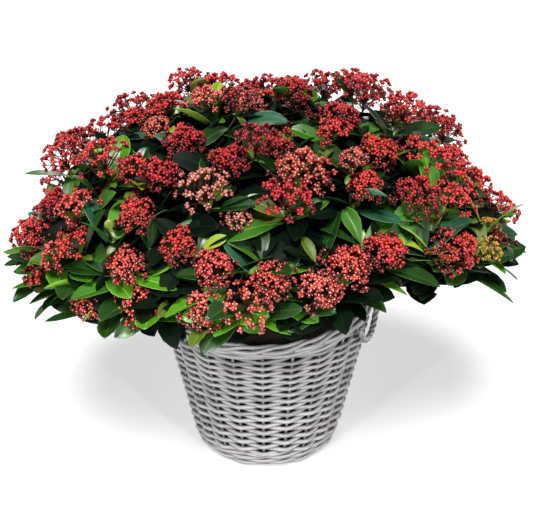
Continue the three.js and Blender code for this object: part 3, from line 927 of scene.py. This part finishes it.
old_wood = Wood()
trunk_rings = []
trunk_profile = list(TRUNK_PROFILE)
for degrees in range(-20, 81, 12):
    rise = math.radians(degrees)
    height = TRUNK_HEAD.z + TRUNK_HEAD_RADIUS * math.sin(rise)
    trunk_profile.append((TRUNK_HEAD_RADIUS * math.cos(rise), height))
for radius, height in trunk_profile:
    ring = []
    for s in range(TRUNK_SIDES):
        angle = 2 * math.pi * s / TRUNK_SIDES
        out = Vector((math.cos(angle), math.sin(angle), 0))
        p = out * radius + Vector((0, 0, height))
        furrow = noise.noise(scaled(p, FURROWS))
        ring.append(p + out * BARK_RELIEF * (1.4 * furrow - 0.6) * min(1, radius / 0.012))
    trunk_rings.append(ring)
old_wood.add_rings(trunk_rings, Vector((0, 0, trunk_profile[0][1])), TRUNK_HEAD + UP * TRUNK_HEAD_RADIUS)

young_wood = Wood()
shoots = []
for i, (tip, axis) in enumerate(zip(tips, axes)):
    reach = (tip - TRUNK_HEAD).length
    root = TRUNK_HEAD + axis * (TRUNK_HEAD_RADIUS - BOUGH_SOCKET)
    bough_tip = TRUNK_HEAD + axis * BOUGH_SHARE * reach
    fork = TRUNK_HEAD + axis * FORK_SHARE * reach
    radii = np.linspace(BOUGH_ROOT_RADIUS, BOUGH_TIP_RADIUS, 11)
    radii[0] += BOUGH_COLLAR
    old_wood.add_limb(bent(root, bough_tip, 10, BOUGH_LIFT), radii, 8, BARK_RELIEF * 0.6)
    young_wood.add_limb(bent(bough_tip - axis * 0.003, fork, 4, 0.0), np.linspace(*STEM_RADII, 5), 6, 0.0004)
    for j in range(SHOOTS):
        found = shoot_of(i, j)
        if found is None:
            continue
        end, facing, radius, key = found
        middle = end - facing * (radius * HEAD_FLATNESS + HEAD_SINK * chance(key, 20) ** 1.5)
        middle.z = max(middle.z - dip_at(middle), hem_at(middle) + HEAD_HEM)
        if opens(middle, key):
            middle.z += OPEN_RISE
        else:
            radius *= HEAD_FULLNESS
        facing = (facing + HEAD_TURN_UP * UP).normalized()
        radius *= 1 - LOW_SHRINK * chance(key, 27) * ramp(middle.z, *SMALLER_BELOW)
        collar = middle - facing * radius * HEAD_FLATNESS
        shoots.append(Shoot(fork, collar, facing, radius, key, True, True))

for parent in list(shoots):
    key, stem = parent.key, parent.stem
    fork_side = parent.start - stem * 0.002
    radii = np.linspace(TWIG_RADIUS, TWIG_RADIUS * 0.75, 6)
    young_wood.add_limb(bent(fork_side, parent.collar, 5, 0.004), radii, 5, 0.0002)
    for side in range(SIDE_SHOOTS):
        turn = key + side * 2.2 + 1.3 * chance(key, 21)
        sideways = stem.orthogonal().normalized()
        around = sideways * math.cos(turn) + stem.cross(sideways) * math.sin(turn)
        start = parent.start.lerp(parent.collar, SIDE_SHOOT_START + SIDE_SHOOT_STEP * side)
        way = (stem * math.cos(SIDE_SHOOT_OPENING) + around * math.sin(SIDE_SHOOT_OPENING)).normalized()
        length = SIDE_SHOOT_LENGTH * (1 + spread(key, 22 + side, 0.2))
        radius = SIDE_HEAD_RADIUS * (1 + spread(key, 24 + side, 0.25))
        facing = (way + parent.facing + HEAD_TURN_UP * UP).normalized()
        height = ramp(start.z, *MORE_HEADS_ABOVE)
        flowers = chance(key, 26 + side) < FLOWERING[0] + (FLOWERING[1] - FLOWERING[0]) * height
        own_key = key + 500 + 300 * side
        shoot = Shoot(start, start + way * length, facing, radius, own_key, False, flowers)
        middle = shoot.middle
        reach = shrunk(middle - CROWN_CENTRE, CROWN_SIZE).length
        nearest = HEADS_APART - CLOSER_ON_TOP * height if flowers else LEAVES_APART
        crowded = any((middle - s.middle).length < nearest * (radius + s.radius) for s in shoots)
        if reach > SIDE_REACH or middle.z < hem_at(middle) + HEAD_HEM or crowded:
            continue
        young_wood.add_limb(bent(start, shoot.collar, 4, 0.003), np.linspace(*SIDE_TWIG_RADII, 5), 5, 0.0002)
        shoots.append(shoot)

low_branch = bent(*LOW_BRANCH_ENDS, 12, 0.006, -UP)
young_wood.add_limb(low_branch, np.linspace(*LOW_BRANCH_RADII, 13), 6, 0.0002)

numerals = [f"{i + 1:02d}" for i in range(len(tips))]
old_wood.joined("bark_of_trunk_and_boughs", old_bark, "trunk", *[f"bough_{n}" for n in numerals])
young_wood.joined("twigs", young_bark, *[f"foliage_{n}" for n in numerals])


# ---- Leaves -------------------------------------------------------------------------------------
# Leathery, glossy, pointed oval leaves with a pale midrib and a thin pale edge, folded a little
# along the rib, arching down towards the tip. They stand in a spiral under each head.

LEAVES = 11
SIDE_LEAVES = 7
INNER_LEAVES = 18
INNER_KEY = 1001.48
LOW_BRANCH_LEAVES = 7
LOW_BRANCH_KEY = 2000
BRACTS = 3  # the short young leaves that stand among a head's stalks
# The share of its length at which a leaf ends, and that by which a bend of one lowers its tip.
TIP_SHARE = 0.9
TIP_FALL = 0.25
TRIALS = 5  # how often a leaf that reaches too far is turned back before it is left out
TURN_BACK = 0.35
SHORTENING = 0.93
LIFT_UP = 0.3
STRAY = 0.94  # leaves whose chance is above this reach to the crown's limit
LEAF_LENGTH = 0.097
LEAF_WIDTH = 0.37  # of its length
LEAF_REACH = (0.90, 1.05)  # of the crown's size, for most tips on top and for those of the skirt
DEEP_INSIDE = 0.80  # of the crown's size, and up to a tenth more: leaves further in are painted near-black as shade
LOW_LENGTHENING = 0.12  # how much longer the lowest leaves are
HEM_RAGGED = 0.018
LEAF_THICKNESS = 0.0005
LEAVES_CLOSE_UP = 24  # degrees by which they stand closer to the stem on top of the bush
LEAST_RISE = 0.06  # leaves on the underside of a shoot turn up to the light until they are nearly level
GOLDEN_TURN = math.radians(137.508)
# Where over the crown a change starts, in height or in depth, and over what distance it comes about.
SKIRT_BELOW = (0.43, -0.1)
LONGER_BELOW = (0.42, -0.06)
CLOSER_ABOVE = (0.46, 0.12)
FRESH_BELOW = (0.43, -0.12)
FRESH_BEFORE = (0.0, -0.2)
# By how much leaves differ by chance: in degrees of opening, in rise, length, width and twist.
OPENING_JITTER = 13
LEAF_RISE_JITTER = 0.12
LENGTH_JITTER = 0.16
WIDTH_JITTER = 0.14
TWIST_JITTER = 0.7
BEND = (0.05, 0.45, 0.35)  # the least, the most by chance, and the most for a leaf that points up
FOLD = (0.16, 0.42)  # the least, and the most by chance
CUPPING = 0.16
RIPPLE = 0.05
RIPPLE_WAVE = 7.0  # how quickly the edge goes up and down, and how much later on its other side
RIPPLE_SHIFT = 2.2
RIPPLE_KEY = 91.7
ALONG = np.array([0.0, 0.07, 0.2, 0.36, 0.53, 0.70, 0.84, 0.94, 1.0])
BREADTH = np.array([0.0, 0.09, 0.42, 0.76, 0.98, 0.97, 0.72, 0.34, 0.0])
ACROSS = np.array([-1.0, -0.93, -0.45, -0.035, 0.035, 0.45, 0.93, 1.0])
ON_EDGE, ON_RIB = (0, 6), (3,)  # which of the strips across a leaf are its edges and its rib
# How the leaves in each place stand: the degrees from the stem to the first leaf and to the last,
# and the share of the full length that the first leaf and the later ones have.
STANDS = {
    "under_head": (38, 84, 0.7, 1.0),
    "bract": (34, 66, 0.22, 0.3),
    "leafy_shoot": (14, 80, 0.6, 1.0),
    "inner": (55, 100, 1.0, 1.1),
    "low_branch": (20, 84, 0.92, 1.0),
}
OLD_ROUGHNESS = 0.45  # rougher leaves than this are old ones, which have lost their gloss
DULLER = 0.08  # the rib and the edge are this much rougher than the blade
UNDERSIDE_ROUGHNESS = 0.6
# Blade, rib and edge colours, and the roughness, of each kind of leaf. The near-black kind is painted shade
# for the leaves inside the crown, and the bluish kind, dealt only to upper leaves, is a painted sheen of
# reflected sky.
LEAF_KINDS = {
    "deep_shade": ("051409", "0c240f", "0a1f0c", 0.5),
    "dark": ("16390c", "33641c", "2c5a17", 0.36),
    "sky_sheen": ("2a5a40", "608f70", "527e62", 0.28),
    "mid": ("336912", "6c9a38", "5c8a2e", 0.34),
    "fresh": ("488612", "94be44", "84b03a", 0.36),
    "young": ("88a222", "b4c254", "b0bc4c", 0.42),
    "olive": ("50661a", "84943c", "7a8a34", 0.38),
}


def leaf_finish(name, code, roughness):
    old = roughness > OLD_ROUGHNESS
    material, tree, shader, place = new_finish(
        name,
        Base_Color=tone(code),
        Specular_IOR_Level=0.12 if old else 0.5,
        Coat_Weight=0.0 if old else 0.22,
        Coat_Roughness=0.22,
    )
    feed(tree, shader.inputs["Roughness"], mottling(tree, place, 60.0) * 0.3 + (roughness - 0.1))
    add_relief(tree, shader, mottling(tree, place, 900.0, 3.0), 0.25, 0.0004)
    return material


def leaf_faces():
    """Corners of one leaf: the upper side in strips, and an underside that closes it."""
    rows, columns = len(ALONG) - 2, len(ACROSS)
    base, tip, keel = rows * columns, rows * columns + 1, rows * columns + 2
    quads, quad_numbers, triangles, triangle_numbers = [], [], [], []
    for c in range(columns - 1):
        number = 1 if c in ON_RIB else 2 if c in ON_EDGE else 0
        for r in range(rows - 1):
            a = r * columns + c
            quads.append((a, a + columns, a + columns + 1, a + 1))
            quad_numbers.append(number)
        end = (rows - 1) * columns + c
        triangles += [(base, c, c + 1), (tip, end + 1, end)]
        triangle_numbers += [number, number]
    for r in range(rows - 1):
        left, right = r * columns, r * columns + columns - 1
        quads += [
            (left, keel + r, keel + r + 1, left + columns),
            (keel + r, right, right + columns, keel + r + 1),
        ]
        quad_numbers += [3, 3]
    left, right = (rows - 1) * columns, rows * columns - 1
    last = keel + rows - 1
    triangles += [(base, keel, 0), (base, columns - 1, keel), (tip, left, last), (tip, last, right)]
    triangle_numbers += [3] * 4
    return np.array(quads), np.array(quad_numbers), np.array(triangles), np.array(triangle_numbers)


def leaf_points(origin, along, face, length, width, bend, fold, twist, key):
    """The corners of many leaves at once, from rows of frames and sizes."""
    side = np.cross(face, along)
    side /= np.linalg.norm(side, axis=1, keepdims=True)
    up = np.cross(along, side)
    t = ALONG[None, :]
    angle = bend[:, None] * t
    safe = np.where(np.abs(bend) < 0.05, 0.05, bend)[:, None]
    forward = np.sin(safe * t) / safe
    fall = (1 - np.cos(safe * t)) / safe
    spine = (
        origin[:, None, :]
        + (length[:, None] * forward)[..., None] * along[:, None, :]
        - (length[:, None] * fall)[..., None] * up[:, None, :]
    )
    normal = np.cos(angle)[..., None] * up[:, None, :] + np.sin(angle)[..., None] * along[:, None, :]
    roll = twist[:, None] * t
    across = np.cos(roll)[..., None] * side[:, None, :] + np.sin(roll)[..., None] * normal
    normal = np.cos(roll)[..., None] * normal - np.sin(roll)[..., None] * side[:, None, :]
    half = 0.5 * width[:, None] * BREADTH[None, :]
    s = ACROSS[None, None, :]
    start = RIPPLE_KEY * key[:, None, None]
    ripple = RIPPLE * np.sin(RIPPLE_WAVE * t[..., None] + start + RIPPLE_SHIFT * np.sign(s)) * s**2
    raise_by = fold[:, None, None] * np.abs(s) - CUPPING * s**2 + ripple
    top = (
        spine[:, :, None, :]
        + (half[..., None] * s)[..., None] * across[:, :, None, :]
        + (half[..., None] * raise_by)[..., None] * normal[:, :, None, :]
    )
    keel = spine[:, 1:-1] - LEAF_THICKNESS * normal[:, 1:-1]
    inner = top[:, 1:-1].reshape(len(origin), -1, 3)
    return np.concatenate([inner, spine[:, :1], spine[:, -1:], keel], axis=1)


def row_of(vector):
    return [vector.x, vector.y, vector.z]


def leaf_kind(place, key, k, stand):
    """Near-black leaves deep inside as painted shade, bluish ones on top as a painted sheen, more fresh and
    mid greens low in front as painted light, and young ones here and there.
    """
    pick = chance(key, 31 + k)
    hidden = shrunk(place - CROWN_CENTRE, CROWN_SIZE).length < DEEP_INSIDE + 0.1 * chance(key, 32 + k)
    low_front = ramp(place.z, *FRESH_BELOW) * ramp(place.y, *FRESH_BEFORE)
    if stand == "inner":
        return "deep_shade" if hidden else "dark"
    if stand == "bract":
        return "young" if pick < 0.3 else "olive" if pick < 0.75 else "fresh"
    if k < 2 and pick < 0.3:
        return "young" if pick < 0.12 else "olive"
    # Painted shade: leaves deep inside the crown get the near-black kind.
    if hidden:
        return "deep_shade"
    # Painted light: low in front, more of the leaves are of the lighter fresh and mid greens.
    if pick < 0.12 + 0.4 * low_front:
        return "fresh"
    if pick < 0.44 + 0.3 * low_front:
        return "mid"
    # Painted sheen: the bluish kind, a reflection of the sky, goes only to upper leaves.
    if pick < 0.56:
        return "sky_sheen" if place.z > 0.36 else "dark"
    return "dark"


def settled(origin, along, length, bend, key, k):
    """A leaf's direction and length once it keeps to the crown and clear of the pot, or None."""
    strays = chance(key, 140 + k) > STRAY
    ragged = HEM_RAGGED * chance(key, 141 + k)
    for _ in range(TRIALS):
        tip = origin + along * length * TIP_SHARE - UP * length * TIP_FALL * bend
        outward = shrunk(tip - CROWN_CENTRE, CROWN_SIZE)
        usual = LEAF_REACH[0] + (LEAF_REACH[1] - LEAF_REACH[0]) * ramp(tip.z, *SKIRT_BELOW)
        on_rim = tip.z < RIM_TOP and math.hypot(tip.x, tip.y) < RIM_RADIUS
        if outward.length > (CROWN_LIMIT if strays else usual):
            along = (along - TURN_BACK * outward.normalized()).normalized()
            length *= SHORTENING
        elif tip.z < hem_at(tip) - ragged or on_rim:
            along = (along + LIFT_UP * UP).normalized()
        else:
            return along, length
    return None


def spiral(stem, key, origins, stand, close=0.0):
    """Leaves round a stem: rows of origin, direction, face, length and the other sizes."""
    openings = [opening - close for opening in STANDS[stand][:2]]
    sizes = STANDS[stand][2:]
    level = Vector((1, 0, 0)) if abs(stem.z) > 0.9 else UP
    sideways = stem.cross(level).normalized()
    for k, origin in enumerate(origins):
        turn = key + k * GOLDEN_TURN
        around = sideways * math.cos(turn) + stem.cross(sideways) * math.sin(turn)
        opening = openings[0] + (openings[1] - openings[0]) * k / max(1, len(origins) - 1)
        opening = math.radians(opening + spread(key, 50 + k, OPENING_JITTER))
        along = stem * math.cos(opening) + around * math.sin(opening)
        along.z = max(along.z, LEAST_RISE + spread(key, 61 + k, LEAF_RISE_JITTER))
        along.normalize()
        length = LEAF_LENGTH * (sizes[0] + (sizes[1] - sizes[0]) * min(1, k / 4))
        length *= 1 + spread(key + 5 * k, 7, LENGTH_JITTER)
        length *= 1 + LOW_LENGTHENING * ramp(origin.z, *LONGER_BELOW)
        bend = BEND[0] + BEND[1] * chance(key, 70 + k) + BEND[2] * max(0.0, along.z)
        found = settled(origin, along, length, bend, key, k)
        if found is None:
            continue
        along, length = found
        face = (stem + 0.9 * UP).normalized()
        if face.cross(along).length < 0.2:
            face = (face + 0.6 * around).normalized()
        yield (
            origin,
            along,
            face,
            length,
            length * LEAF_WIDTH * (1 + spread(key, 90 + k, WIDTH_JITTER)),
            bend,
            FOLD[0] + FOLD[1] * chance(key, 110 + k),
            spread(key, 130 + k, TWIST_JITTER),
            key + 0.01 * k,
            leaf_kind(origin + along * length * 0.5, key, k, stand),
        )


leaves = []
for shoot in shoots:
    key, stem, collar = shoot.key + 0.5, shoot.stem, shoot.collar
    count = LEAVES if shoot.main else SIDE_LEAVES
    if shoot.flowers:
        close = LEAVES_CLOSE_UP * ramp(shoot.middle.z, *CLOSER_ABOVE)
        origins = [collar - stem * (0.001 + 0.0042 * k) for k in range(count)]
        leaves += spiral(shoot.rise, key, origins, "under_head", close)
        origins = [collar + stem * (0.004 - 0.003 * k) for k in range(BRACTS)]
        leaves += spiral(shoot.facing, key + 40, origins, "bract")
    else:
        origins = [collar - stem * 0.004 * k for k in range(count)]
        leaves += spiral(shoot.rise, key, origins, "leafy_shoot")
for i, (tip, axis) in enumerate(zip(tips, axes)):
    fork = TRUNK_HEAD + axis * FORK_SHARE * (tip - TRUNK_HEAD).length
    origins = [fork - axis * 0.005 * (k - 3) for k in range(INNER_LEAVES)]
    leaves += spiral(axis, INNER_KEY + i, origins, "inner")
end = low_branch[-1]
way = (end - low_branch[-3]).normalized()
origins = [end - way * 0.014 * k for k in range(LOW_BRANCH_LEAVES)]
leaves += spiral(way, LOW_BRANCH_KEY, origins, "low_branch")


def joined_copies(name, copies, shapes, finishes, numbers=None):
    """Joins many copies of one piece of the plant. Shapes are the corners of its groups of faces."""
    starts = np.arange(len(copies))[:, None, None] * copies.shape[1]
    faces = [(shape[None] + starts).reshape(-1, shape.shape[1]) for shape in shapes]
    joined(name, copies.reshape(-1, 3), faces, finishes, numbers)


quads, quad_numbers, triangles, triangle_numbers = leaf_faces()
for kind, (blade, rib, edge, roughness) in LEAF_KINDS.items():
    chosen = [leaf for leaf in leaves if leaf[-1] == kind]
    vectors = [np.array([row_of(leaf[c]) for leaf in chosen]) for c in range(3)]
    values = [np.array([leaf[c] for leaf in chosen]) for c in range(3, 9)]
    points = leaf_points(*vectors, *values)
    numbers = [np.tile(quad_numbers, len(chosen)), np.tile(triangle_numbers, len(chosen))]
    finishes = [
        leaf_finish(f"{kind}_blade", blade, roughness),
        leaf_finish(f"{kind}_rib", rib, roughness + DULLER),
        leaf_finish(f"{kind}_edge", edge, roughness + DULLER),
        leaf_finish(f"{kind}_underside", rib, UNDERSIDE_ROUGHNESS),
    ]
    joined_copies(f"leaves_{kind}", points, (quads, triangles), finishes, numbers)


# ---- Heads of buds ------------------------------------------------------------------------------
# Each shoot ends in a dome of small, firm, pear-shaped buds in little bunches, on red stalks that branch
# from the shoot's end. They are crimson to coral, with paler tips that are partly their own colour and
# partly painted highlights, and a few are amber.

BUD_LENGTH = 0.0066
BUD_SIDES = 6
BUD_RINGS = [(0.64, 0.36), (0.97, 0.13)]  # share of the length, and radius in lengths
# Radius, height of the dome in radii, sprays, bunches on a spray, and how many are made.
CLOSED_HEADS = [(0.036, 0.84, 16, 5, 4), (0.030, 0.86, 13, 5, 3), (0.024, 0.88, 10, 4, 3)]
OPEN_HEADS = [(0.036, 1.0, 12, 3, 4), (0.030, 1.0, 10, 3, 3), (0.024, 1.0, 7, 3, 3)]
# Where the sprays spread from and how far they reach, in radii, their lowest angle, and the reach
# of their bunches: first in a closed dome, and then in an open, branching head.
CLOSED_SHAPE = (0.82, 0.50, 108, 0.32)
OPEN_SHAPE = (0.42, 0.90, 56, 0.40)
BUNCHES_OPENING = math.radians(66)
BUNCH = 5
BUNCH_OPENING = 52
LOOSE_BELOW = 0.35  # sprays that rise less than this are longer and hold fewer bunches
SPRAY_LOOSENESS = 0.10
BUNCH_LOOSENESS = 0.12
SPRAY_JITTER = 0.16
BUNCH_JITTER = 0.12
BUD_TURN_JITTER = 12
BUD_SIZE_JITTER = 0.14
LIGHT_BY_CHANCE = 0.55
LIGHT_BY_HEIGHT = 0.45
# Radii of a stalk at its start and at its end: up to a head, to a spray, and to a bunch.
HEAD_STALK = (0.0016, 0.0011)
SPRAY_STALK = (0.0013, 0.0010)
BUNCH_STALK = (0.0009, 0.0006)
HEAD_STALK_SINK = 0.006
LEAST_LIGHT = (0.42, 0.70)  # what a plain bud gets, and what a bright one gets
# The shaded, plain and bright buds of each kind, and their tips. The shaded and bright buds are painted
# shade and painted light, dealt partly by chance, and the pale tips are partly the buds' own colour and
# partly painted highlights.
BUD_KINDS = {
    "shaded_wine": ("36060a", "680b15", "a01e28", "b04a4e"),
    "crimson": ("44080c", "900f17", "c6282e", "d05c56"),
    "red": ("4e0a0c", "a21717", "d4342e", "e07a68"),
    "rose": ("560c0c", "a8261f", "d44a3e", "eeae98"),
    "coral": ("5e120f", "b2382b", "da624f", "f4c4b0"),
    "salmon": ("601f1a", "ac5442", "d08470", "f0d0be"),
    "amber": ("6c400c", "b0761a", "d09a32", "ecd68e"),
}
STALK_COLOURS = {"red": "541014", "green": "5e6824"}
AMBER_SIZE = 0.6  # of a red head: the amber ones are poor and small
# Where the buds are of the warmer kinds: low, in front, and round this place along x.
WARM_BELOW = (0.50, -0.12)
WARM_BEFORE = (0.0, -0.18)
WARM_MIDDLE = 0.03
WARM_WIDTH = 0.24


def bud_faces():
    """Corners of a bud's body, from its foot up, and of its tip."""
    sides = BUD_SIDES
    foot = 2 * sides
    s = np.arange(sides)
    t = (s + 1) % sides
    body = np.stack([s, t, t + sides, s + sides], 1)
    cone = np.stack([np.full(sides, foot), t, s], 1)
    return body, cone, sides + np.array([s])


def bud_outline():
    turns = np.arange(BUD_SIDES) * 2 * math.pi / BUD_SIDES
    rings = [[(r * math.cos(a), r * math.sin(a), h) for a in turns] for h, r in BUD_RINGS]
    return np.array(rings[0] + rings[1] + [(0.0, 0.0, 0.0)]) * BUD_LENGTH


def cap_direction(k, count, lowest, seed):
    """Direction k of count spread evenly over a cap, from the top down to the lowest angle."""
    height = 1 - (1 - math.cos(lowest)) * (k + 0.5) / count
    turn = k * GOLDEN_TURN + seed
    flat = math.sqrt(max(0.0, 1 - height * height))
    return Vector((flat * math.cos(turn), flat * math.sin(turn), height))


def frame_to(direction):
    return direction.to_track_quat("Z", "Y").to_matrix()


class Form:
    """One head about its collar, facing up: its buds, their shades and its stalks, as arrays."""

    def __init__(self, shape, radius, height, sprays, bunches, seed):
        heart, spray_reach, lowest, bunch_reach = shape
        squash = Vector((1, 1, height))
        middle = Vector((0, 0, radius * heart))
        self.outline = bud_outline()
        self.buds, self.shades, self.stalks = [], [], []
        self.add_stalk(Vector((0, 0, -HEAD_STALK_SINK)), middle, *HEAD_STALK)
        for k in range(sprays):
            key = seed + k
            way = cap_direction(k, sprays, math.radians(lowest), seed)
            loose = max(0.0, LOOSE_BELOW - way.z)
            node = Vector((0, 0, radius * (0.1 + 0.6 * max(0.0, way.z))))
            reach = spray_reach + SPRAY_LOOSENESS * loose + spread(key, 61, SPRAY_JITTER)
            joint = middle + scaled(way, squash) * radius * reach
            self.add_stalk(node, joint, *SPRAY_STALK)
            held = bunches - (1 if loose > 0 else 0) - (1 if loose > 0.3 else 0)
            for n in range(held):
                out = frame_to(way) @ cap_direction(n, held, BUNCHES_OPENING, key)
                reach = bunch_reach + BUNCH_LOOSENESS * loose + spread(key, 62 + n, BUNCH_JITTER)
                knot = joint + scaled(out, squash) * radius * reach
                self.add_stalk(joint, knot, *BUNCH_STALK)
                self.add_bunch(knot, (out + 0.4 * way + 0.15 * UP).normalized(), key + 7 * n, way.z)
        self.buds = np.array(self.buds)
        self.shades = np.array(self.shades)
        self.stalks = np.array(self.stalks)

    def add_bunch(self, knot, way, key, height):
        """One bud in the middle and the others open round it, with painted shade that makes them darker low
        in the head.
        """
        turned = frame_to(way)
        for n in range(BUNCH):
            opening = BUNCH_OPENING + spread(key, 70 + n, BUD_TURN_JITTER) if n else 0.0
            opening = math.radians(opening)
            angle = n * 2 * math.pi / (BUNCH - 1) + 6.28 * chance(key, 63)
            flat = math.sin(opening)
            out = turned @ Vector((flat * math.cos(angle), flat * math.sin(angle), math.cos(opening)))
            size = 1 + spread(key, 80 + n, BUD_SIZE_JITTER)
            self.buds.append((self.outline * size) @ np.array(frame_to(out)).T + np.array(knot))
            # Painted light: buds on the upper sprays are more often bright, those low in the head more often
            # shaded.
            light = LIGHT_BY_CHANCE * chance(key, 95 + n) + LIGHT_BY_HEIGHT * max(0.0, height)
            self.shades.append(sum(light >= least for least in LEAST_LIGHT))

    def add_stalk(self, start, end, thick, thin):
        """Three-sided, closed at both ends, as six corners."""
        turned = frame_to((end - start).normalized())
        corners = []
        for centre, radius in ((start, thick), (end, thin)):
            for s in range(3):
                angle = 2 * math.pi * s / 3
                out = Vector((radius * math.cos(angle), radius * math.sin(angle), 0))
                corners.append(row_of(centre + turned @ out))
        self.stalks.append(corners)


def grown_forms(shape, sizes, seed):
    """The forms of each nominal radius."""
    forms = {}
    for *measures, made in sizes:
        radius = measures[0]
        forms[radius] = [Form(shape, *measures, 11.0 * v + 100 * radius + seed) for v in range(made)]
    return forms


closed_forms = grown_forms(CLOSED_SHAPE, CLOSED_HEADS, 0)
open_forms = grown_forms(OPEN_SHAPE, OPEN_HEADS, 50)


def bud_kind(place, key, main):
    """Crimson on top and at the sides, darker wine here and there as painted shade, coral low in front
    partly as painted light, a few salmon, and amber low at the right.
    """
    pick = chance(key, 151)
    if place.x > 0.04 and place.z < 0.48 and place.y < 0.05 and (not main or pick > 0.72):
        return "amber"
    low_front = ramp(place.z, *WARM_BELOW) * ramp(place.y, *WARM_BEFORE)
    front = low_front * math.exp(-(((place.x - WARM_MIDDLE) / WARM_WIDTH) ** 2))
    # Painted light: heads low in front lean to the paler, warmer kinds, and the darkest kind is painted
    # shade.
    warmth = 0.55 * front + 0.5 * pick
    if pick > 0.55 and abs(place.x + 0.05) < 0.09 and 0.42 < place.z < 0.53 and place.y < 0:
        return "salmon"
    if warmth > 0.72 or (pick > 0.86 and place.z > 0.5):
        return "coral"
    if warmth > 0.5:
        return "rose"
    return "red" if warmth > 0.22 else "crimson" if warmth > 0.07 else "shaded_wine"


bud_parts = {kind: [] for kind in BUD_KINDS}
stalk_parts = {name: [] for name in STALK_COLOURS}
for shoot in shoots:
    if not shoot.flowers:
        continue
    key, place = shoot.key, np.array(shoot.collar)
    forms = open_forms if shoot.open else closed_forms
    nominal = min(forms, key=lambda size: abs(size - shoot.radius))
    form = forms[nominal][int(chance(key, 152) * len(forms[nominal]))]
    turned = np.array(frame_to(shoot.facing) @ Matrix.Rotation(6.28 * chance(key, 153), 3, "Z")).T
    kind = bud_kind(shoot.middle, key, shoot.main)
    grow = shoot.radius / nominal * (AMBER_SIZE if kind == "amber" else 1)
    bud_parts[kind].append((form.buds * grow @ turned + place, form.shades))
    stalk_parts["green" if kind == "amber" else "red"].append(form.stalks * grow @ turned + place)


def bud_finish(name, code):
    material, tree, shader, place = new_finish(
        name, Base_Color=tone(code), Specular_IOR_Level=0.45, Coat_Weight=0.12, Coat_Roughness=0.3
    )
    skin = mottling(tree, place, 900.0)
    feed(tree, shader.inputs["Roughness"], skin * 0.25 + 0.3)
    add_relief(tree, shader, skin, 0.2, 0.0003)
    return material


BUDS_IN_A_PIECE = 8500
BUD_SHADES = ("shaded", "plain", "bright", "tip")
bud_shapes = bud_faces()
for kind, codes in BUD_KINDS.items():
    if not bud_parts[kind]:
        continue
    buds = np.concatenate([points for points, shades in bud_parts[kind]])
    shades = np.concatenate([some for points, some in bud_parts[kind]])
    finishes = [bud_finish(f"{kind}_{shade}", code) for shade, code in zip(BUD_SHADES, codes)]
    for part, first in enumerate(range(0, len(buds), BUDS_IN_A_PIECE)):
        some = buds[first : first + BUDS_IN_A_PIECE]
        sides = np.repeat(shades[first : first + BUDS_IN_A_PIECE], BUD_SIDES)
        numbers = [sides, sides, np.full(len(some), BUD_SHADES.index("tip"))]
        joined_copies(f"buds_{kind}_{part + 1}", some, bud_shapes, finishes, numbers)

STALK_SIDES = np.array([(0, 1, 4, 3), (1, 2, 5, 4), (2, 0, 3, 5)])
STALK_ENDS = np.array([(0, 2, 1), (3, 4, 5)])
for name, parts in stalk_parts.items():
    if parts:
        finish = bud_finish(f"{name}_stalk", STALK_COLOURS[name])
        joined_copies(f"{name}_bud_stalks", np.concatenate(parts), (STALK_SIDES, STALK_ENDS), [finish])
